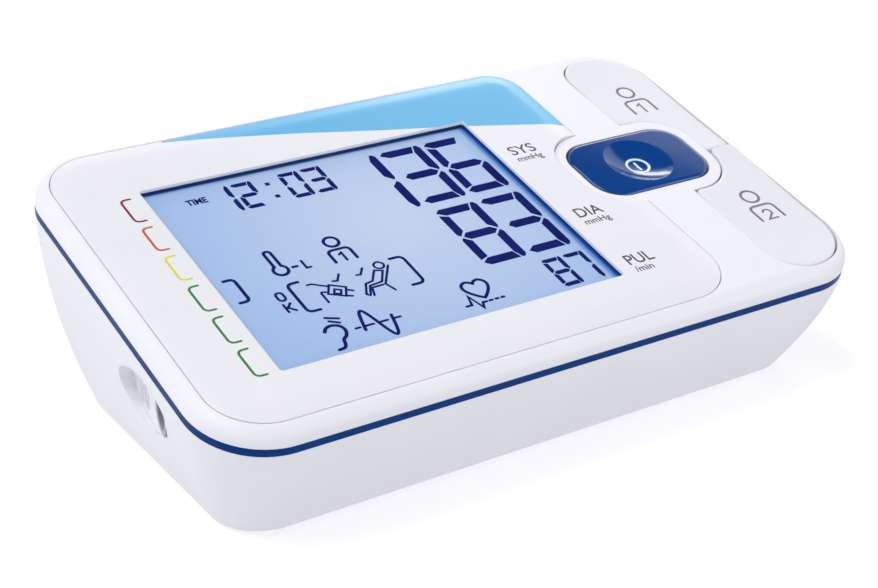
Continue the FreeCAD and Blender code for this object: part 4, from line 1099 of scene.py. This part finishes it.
class MONITOR_OT_marks(bpy.types.Operator):
    """Print the signs on the keys and the start button, and raise the cuff sign by the socket"""

    bl_idname = "monitor.marks"
    bl_label = "Button marks"

    def execute(self, context):
        grey = ink("pad_print_grey", "#77777c")
        for number, y in (("1", USER_1_Y), ("2", USER_2_Y)):
            shapes = sign_user(USER_MARK_X, y, USER_MARK_LINE, USER_MARK_SCALE, number)
            body = f"user_key_{number}"
            print_on(f"user_mark_{number}", shapes, body, body, grey, "white_keys")
        white = ink("pad_print_white", "#dfe9f6", 0.3)
        standby = stroke(arc(POWER_X, POWER_Y, POWER_RADIUS, 0, 360, 48), POWER_LINE, True)
        bar = divided([(POWER_X, POWER_Y - POWER_BAR), (POWER_X, POWER_Y + POWER_BAR)], FINE)
        standby += stroke(bar, POWER_LINE)
        print_on("standby_mark", standby, "start_button", "start_button", white, "blue_button")
        place = next(mount["pos_m"] for mount in frame["record"]["mounts"] if mount["name"] == "cuff_socket")
        x, y, z = cad_box[0][0] - MM, place[1] + CUFF_MARK_BACK * MM, place[2] + CUFF_MARK_UP * MM
        wall = Matrix([[0, 0, -1, x], [-1, 0, 0, y], [0, 1, 0, z], [0, 0, 0, 1]])
        # The raised mark is the case's white drawn a touch darker: painted shade, so that its low relief shows.
        relief = abs_spark_eroded("abs_white_raised_mark", "#e6e6ec", "#e3e3ea")
        mark = cuff_mark()
        print_on("cuff_mark", mark, "lower_shell", "case", relief, "white_case", wall, CUFF_MARK_HEIGHT)
        return {"FINISHED"}


# ---------------------------------------------------------------- stage
FLOOR_HALF = 6.0  # m
WHITE_LIFT = 0.3  # lifts the floor to white where the camera sees it
COOL = "#f9f9ff"  # colour of the even light
CEILING = 0.03  # what reflections see overhead, where white is 1
CEILING_FROM = 0.585  # height of a direction where the ceiling starts to show, and where it is full
CEILING_TO = 0.67
BELOW_LEFT = 1.21  # light of the world from under the horizon, at the left and at the right
BELOW_RIGHT = 0.41
HORIZON = 0.02  # half the height over which it goes over into the light from above
SENSOR = 36  # mm, width of the camera's sensor
NEAREST = 0.01  # m, nearest place that the camera shows


def box_light(name, place, size, power):
    """A soft box that looks at the origin."""
    data = bpy.data.lights.new(name, "AREA")
    data.shape = "RECTANGLE"
    data.size, data.size_y = size
    data.energy = power
    light = bpy.data.objects.new(name, data)
    light.location = place
    light.rotation_mode = "QUATERNION"
    light.rotation_quaternion = (-Vector(place)).to_track_quat("-Z", "Y")
    bpy.context.scene.collection.objects.link(light)


def floor_paper():
    """Matt white background paper, clear from below. It is lifted for the camera, so that it reads white."""
    made = material("paper_white_matt", "#f4f4f4", 0.9, specular_ior_level=0.1)
    tree = made.node_tree
    shader = tree.nodes["Principled BSDF"]
    seen = add(tree, "ShaderNodeLightPath").outputs["Is Camera Ray"]
    shader.inputs["Emission Color"].default_value = (1, 1, 1, 1)
    tree.links.new(maths(tree, "MULTIPLY", seen, WHITE_LIFT), shader.inputs["Emission Strength"])
    below = add(tree, "ShaderNodeNewGeometry").outputs["Backfacing"]
    tree.links.new(maths(tree, "SUBTRACT", 1.0, below), shader.inputs["Alpha"])
    return made


def studio_world(strength):
    """Even, slightly cool light, brighter from below at the left, as a lit floor gives it back.

    The camera sees white, and reflections see white up to a dark ceiling.
    """
    world = bpy.data.worlds.new("studio")
    world.use_nodes = True
    bpy.context.scene.world = world
    tree = world.node_tree
    path = add(tree, "ShaderNodeLightPath").outputs
    mirrored = path["Is Glossy Ray"]
    clear = maths(tree, "MAXIMUM", path["Is Camera Ray"], path["Is Transmission Ray"])
    seen = maths(tree, "MAXIMUM", clear, mirrored)
    way = add(tree, "ShaderNodeTexCoord").outputs["Generated"]
    way = add(tree, "ShaderNodeSeparateXYZ", {0: way}).outputs
    ceiling = ranged(tree, way[2], CEILING_FROM, CEILING_TO, 1, CEILING, interpolation_type="SMOOTHSTEP")
    below = ranged(tree, way[0], -1, 1, BELOW_LEFT, BELOW_RIGHT)
    light = ranged(tree, way[2], -HORIZON, HORIZON, below, strength)
    level = add(tree, "ShaderNodeMix", {0: mirrored, 2: light, 3: ceiling}).outputs[0]
    level = add(tree, "ShaderNodeMix", {0: clear, 2: level, 3: 1.0}).outputs[0]
    background = tree.nodes["Background"]
    tree.links.new(mixed(tree, seen, linear(COOL), (1, 1, 1, 1)), background.inputs["Color"])
    tree.links.new(level, background.inputs["Strength"])


class MONITOR_OT_stage(bpy.types.Operator):
    """Set the floor, the light and the camera"""

    bl_idname = "monitor.stage"
    bl_label = "Stage"

    def execute(self, context):
        look = context.scene.monitor_stage
        scene = context.scene
        scene.view_settings.view_transform = "Standard"
        corners = [(-1, -1), (1, -1), (1, 1), (-1, 1)]
        mesh = bpy.data.meshes.new("floor")
        mesh.from_pydata([(x * FLOOR_HALF, y * FLOOR_HALF, 0) for x, y in corners], [], [(0, 1, 2, 3)])
        floor = bpy.data.objects.new("floor", mesh)
        scene.collection.objects.link(floor)
        mesh.materials.append(floor_paper())
        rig.stage(floor)
        # Soft light passes through the floor, so that the underside isn't black from below.
        floor.visible_diffuse = False
        studio_world(look.world)
        box_light("key_box", (-0.95, 0.35, 1.8), (1.6, 1.6), look.key)
        box_light("front_box", (0.75, -1.1, 0.35), (1.0, 0.6), look.front)
        box_light("back_box", (0.87, 1.02, 0.68), (0.45, 0.28), look.back)
        camera = bpy.data.cameras.new("camera")
        camera.lens = look.lens
        camera.sensor_width = SENSOR
        camera.clip_start = NEAREST
        holder = bpy.data.objects.new("camera", camera)
        holder.location = look.camera_place
        holder.rotation_euler = (math.pi / 2 - look.camera_elevation, 0, look.camera_azimuth)
        scene.collection.objects.link(holder)
        scene.camera = holder
        return {"FINISHED"}


# ---------------------------------------------------------------- the add-on
class MONITOR_PT_panel(bpy.types.Panel):
    """Everything that dresses the monitor"""

    bl_idname = "MONITOR_PT_panel"
    bl_label = "Blood pressure monitor"
    bl_space_type = "VIEW_3D"
    bl_region_type = "UI"
    bl_category = "Monitor"

    def draw(self, context):
        for group, operators in GROUPS:
            box = self.layout.box()
            settings = getattr(context.scene, group, None)
            for name in settings.bl_rna.properties.keys() if settings else ():
                if name not in ("rna_type", "name"):
                    box.prop(settings, name)
            for operator in operators:
                box.operator(operator)


GROUPS = (
    ("monitor_case", ("monitor.case", "monitor.inside", "monitor.prints", "monitor.marks")),
    ("monitor_display", ("monitor.display",)),
    ("monitor_stage", ("monitor.stage",)),
)
CLASSES = (
    MonitorDisplay,
    MonitorCase,
    MonitorStage,
    MONITOR_OT_case,
    MONITOR_OT_inside,
    MONITOR_OT_prints,
    MONITOR_OT_marks,
    MONITOR_OT_display,
    MONITOR_OT_stage,
    MONITOR_PT_panel,
)


def register():
    """Add the panel, its operators and its settings."""
    for kind in CLASSES:
        bpy.utils.register_class(kind)
    bpy.types.Scene.monitor_display = PointerProperty(type=MonitorDisplay)
    bpy.types.Scene.monitor_case = PointerProperty(type=MonitorCase)
    bpy.types.Scene.monitor_stage = PointerProperty(type=MonitorStage)


def unregister():
    """Take them out again."""
    del bpy.types.Scene.monitor_display
    del bpy.types.Scene.monitor_case
    del bpy.types.Scene.monitor_stage
    for kind in reversed(CLASSES):
        bpy.utils.unregister_class(kind)


def main():
    """Dress the model, set the stage and note both sizes."""
    register()
    bpy.ops.monitor.stage()
    bpy.ops.monitor.case()
    bpy.ops.monitor.inside()
    bpy.ops.monitor.prints()
    bpy.ops.monitor.marks()
    bpy.ops.monitor.display()
    sizes = {"cad": [list(corner) for corner in cad_box], "visual": [list(corner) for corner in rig.bounds()]}
    with open(SIZE_FILE, "w") as file:
        json.dump(sizes, file, indent=1)


if __name__ == "__main__":
    main()
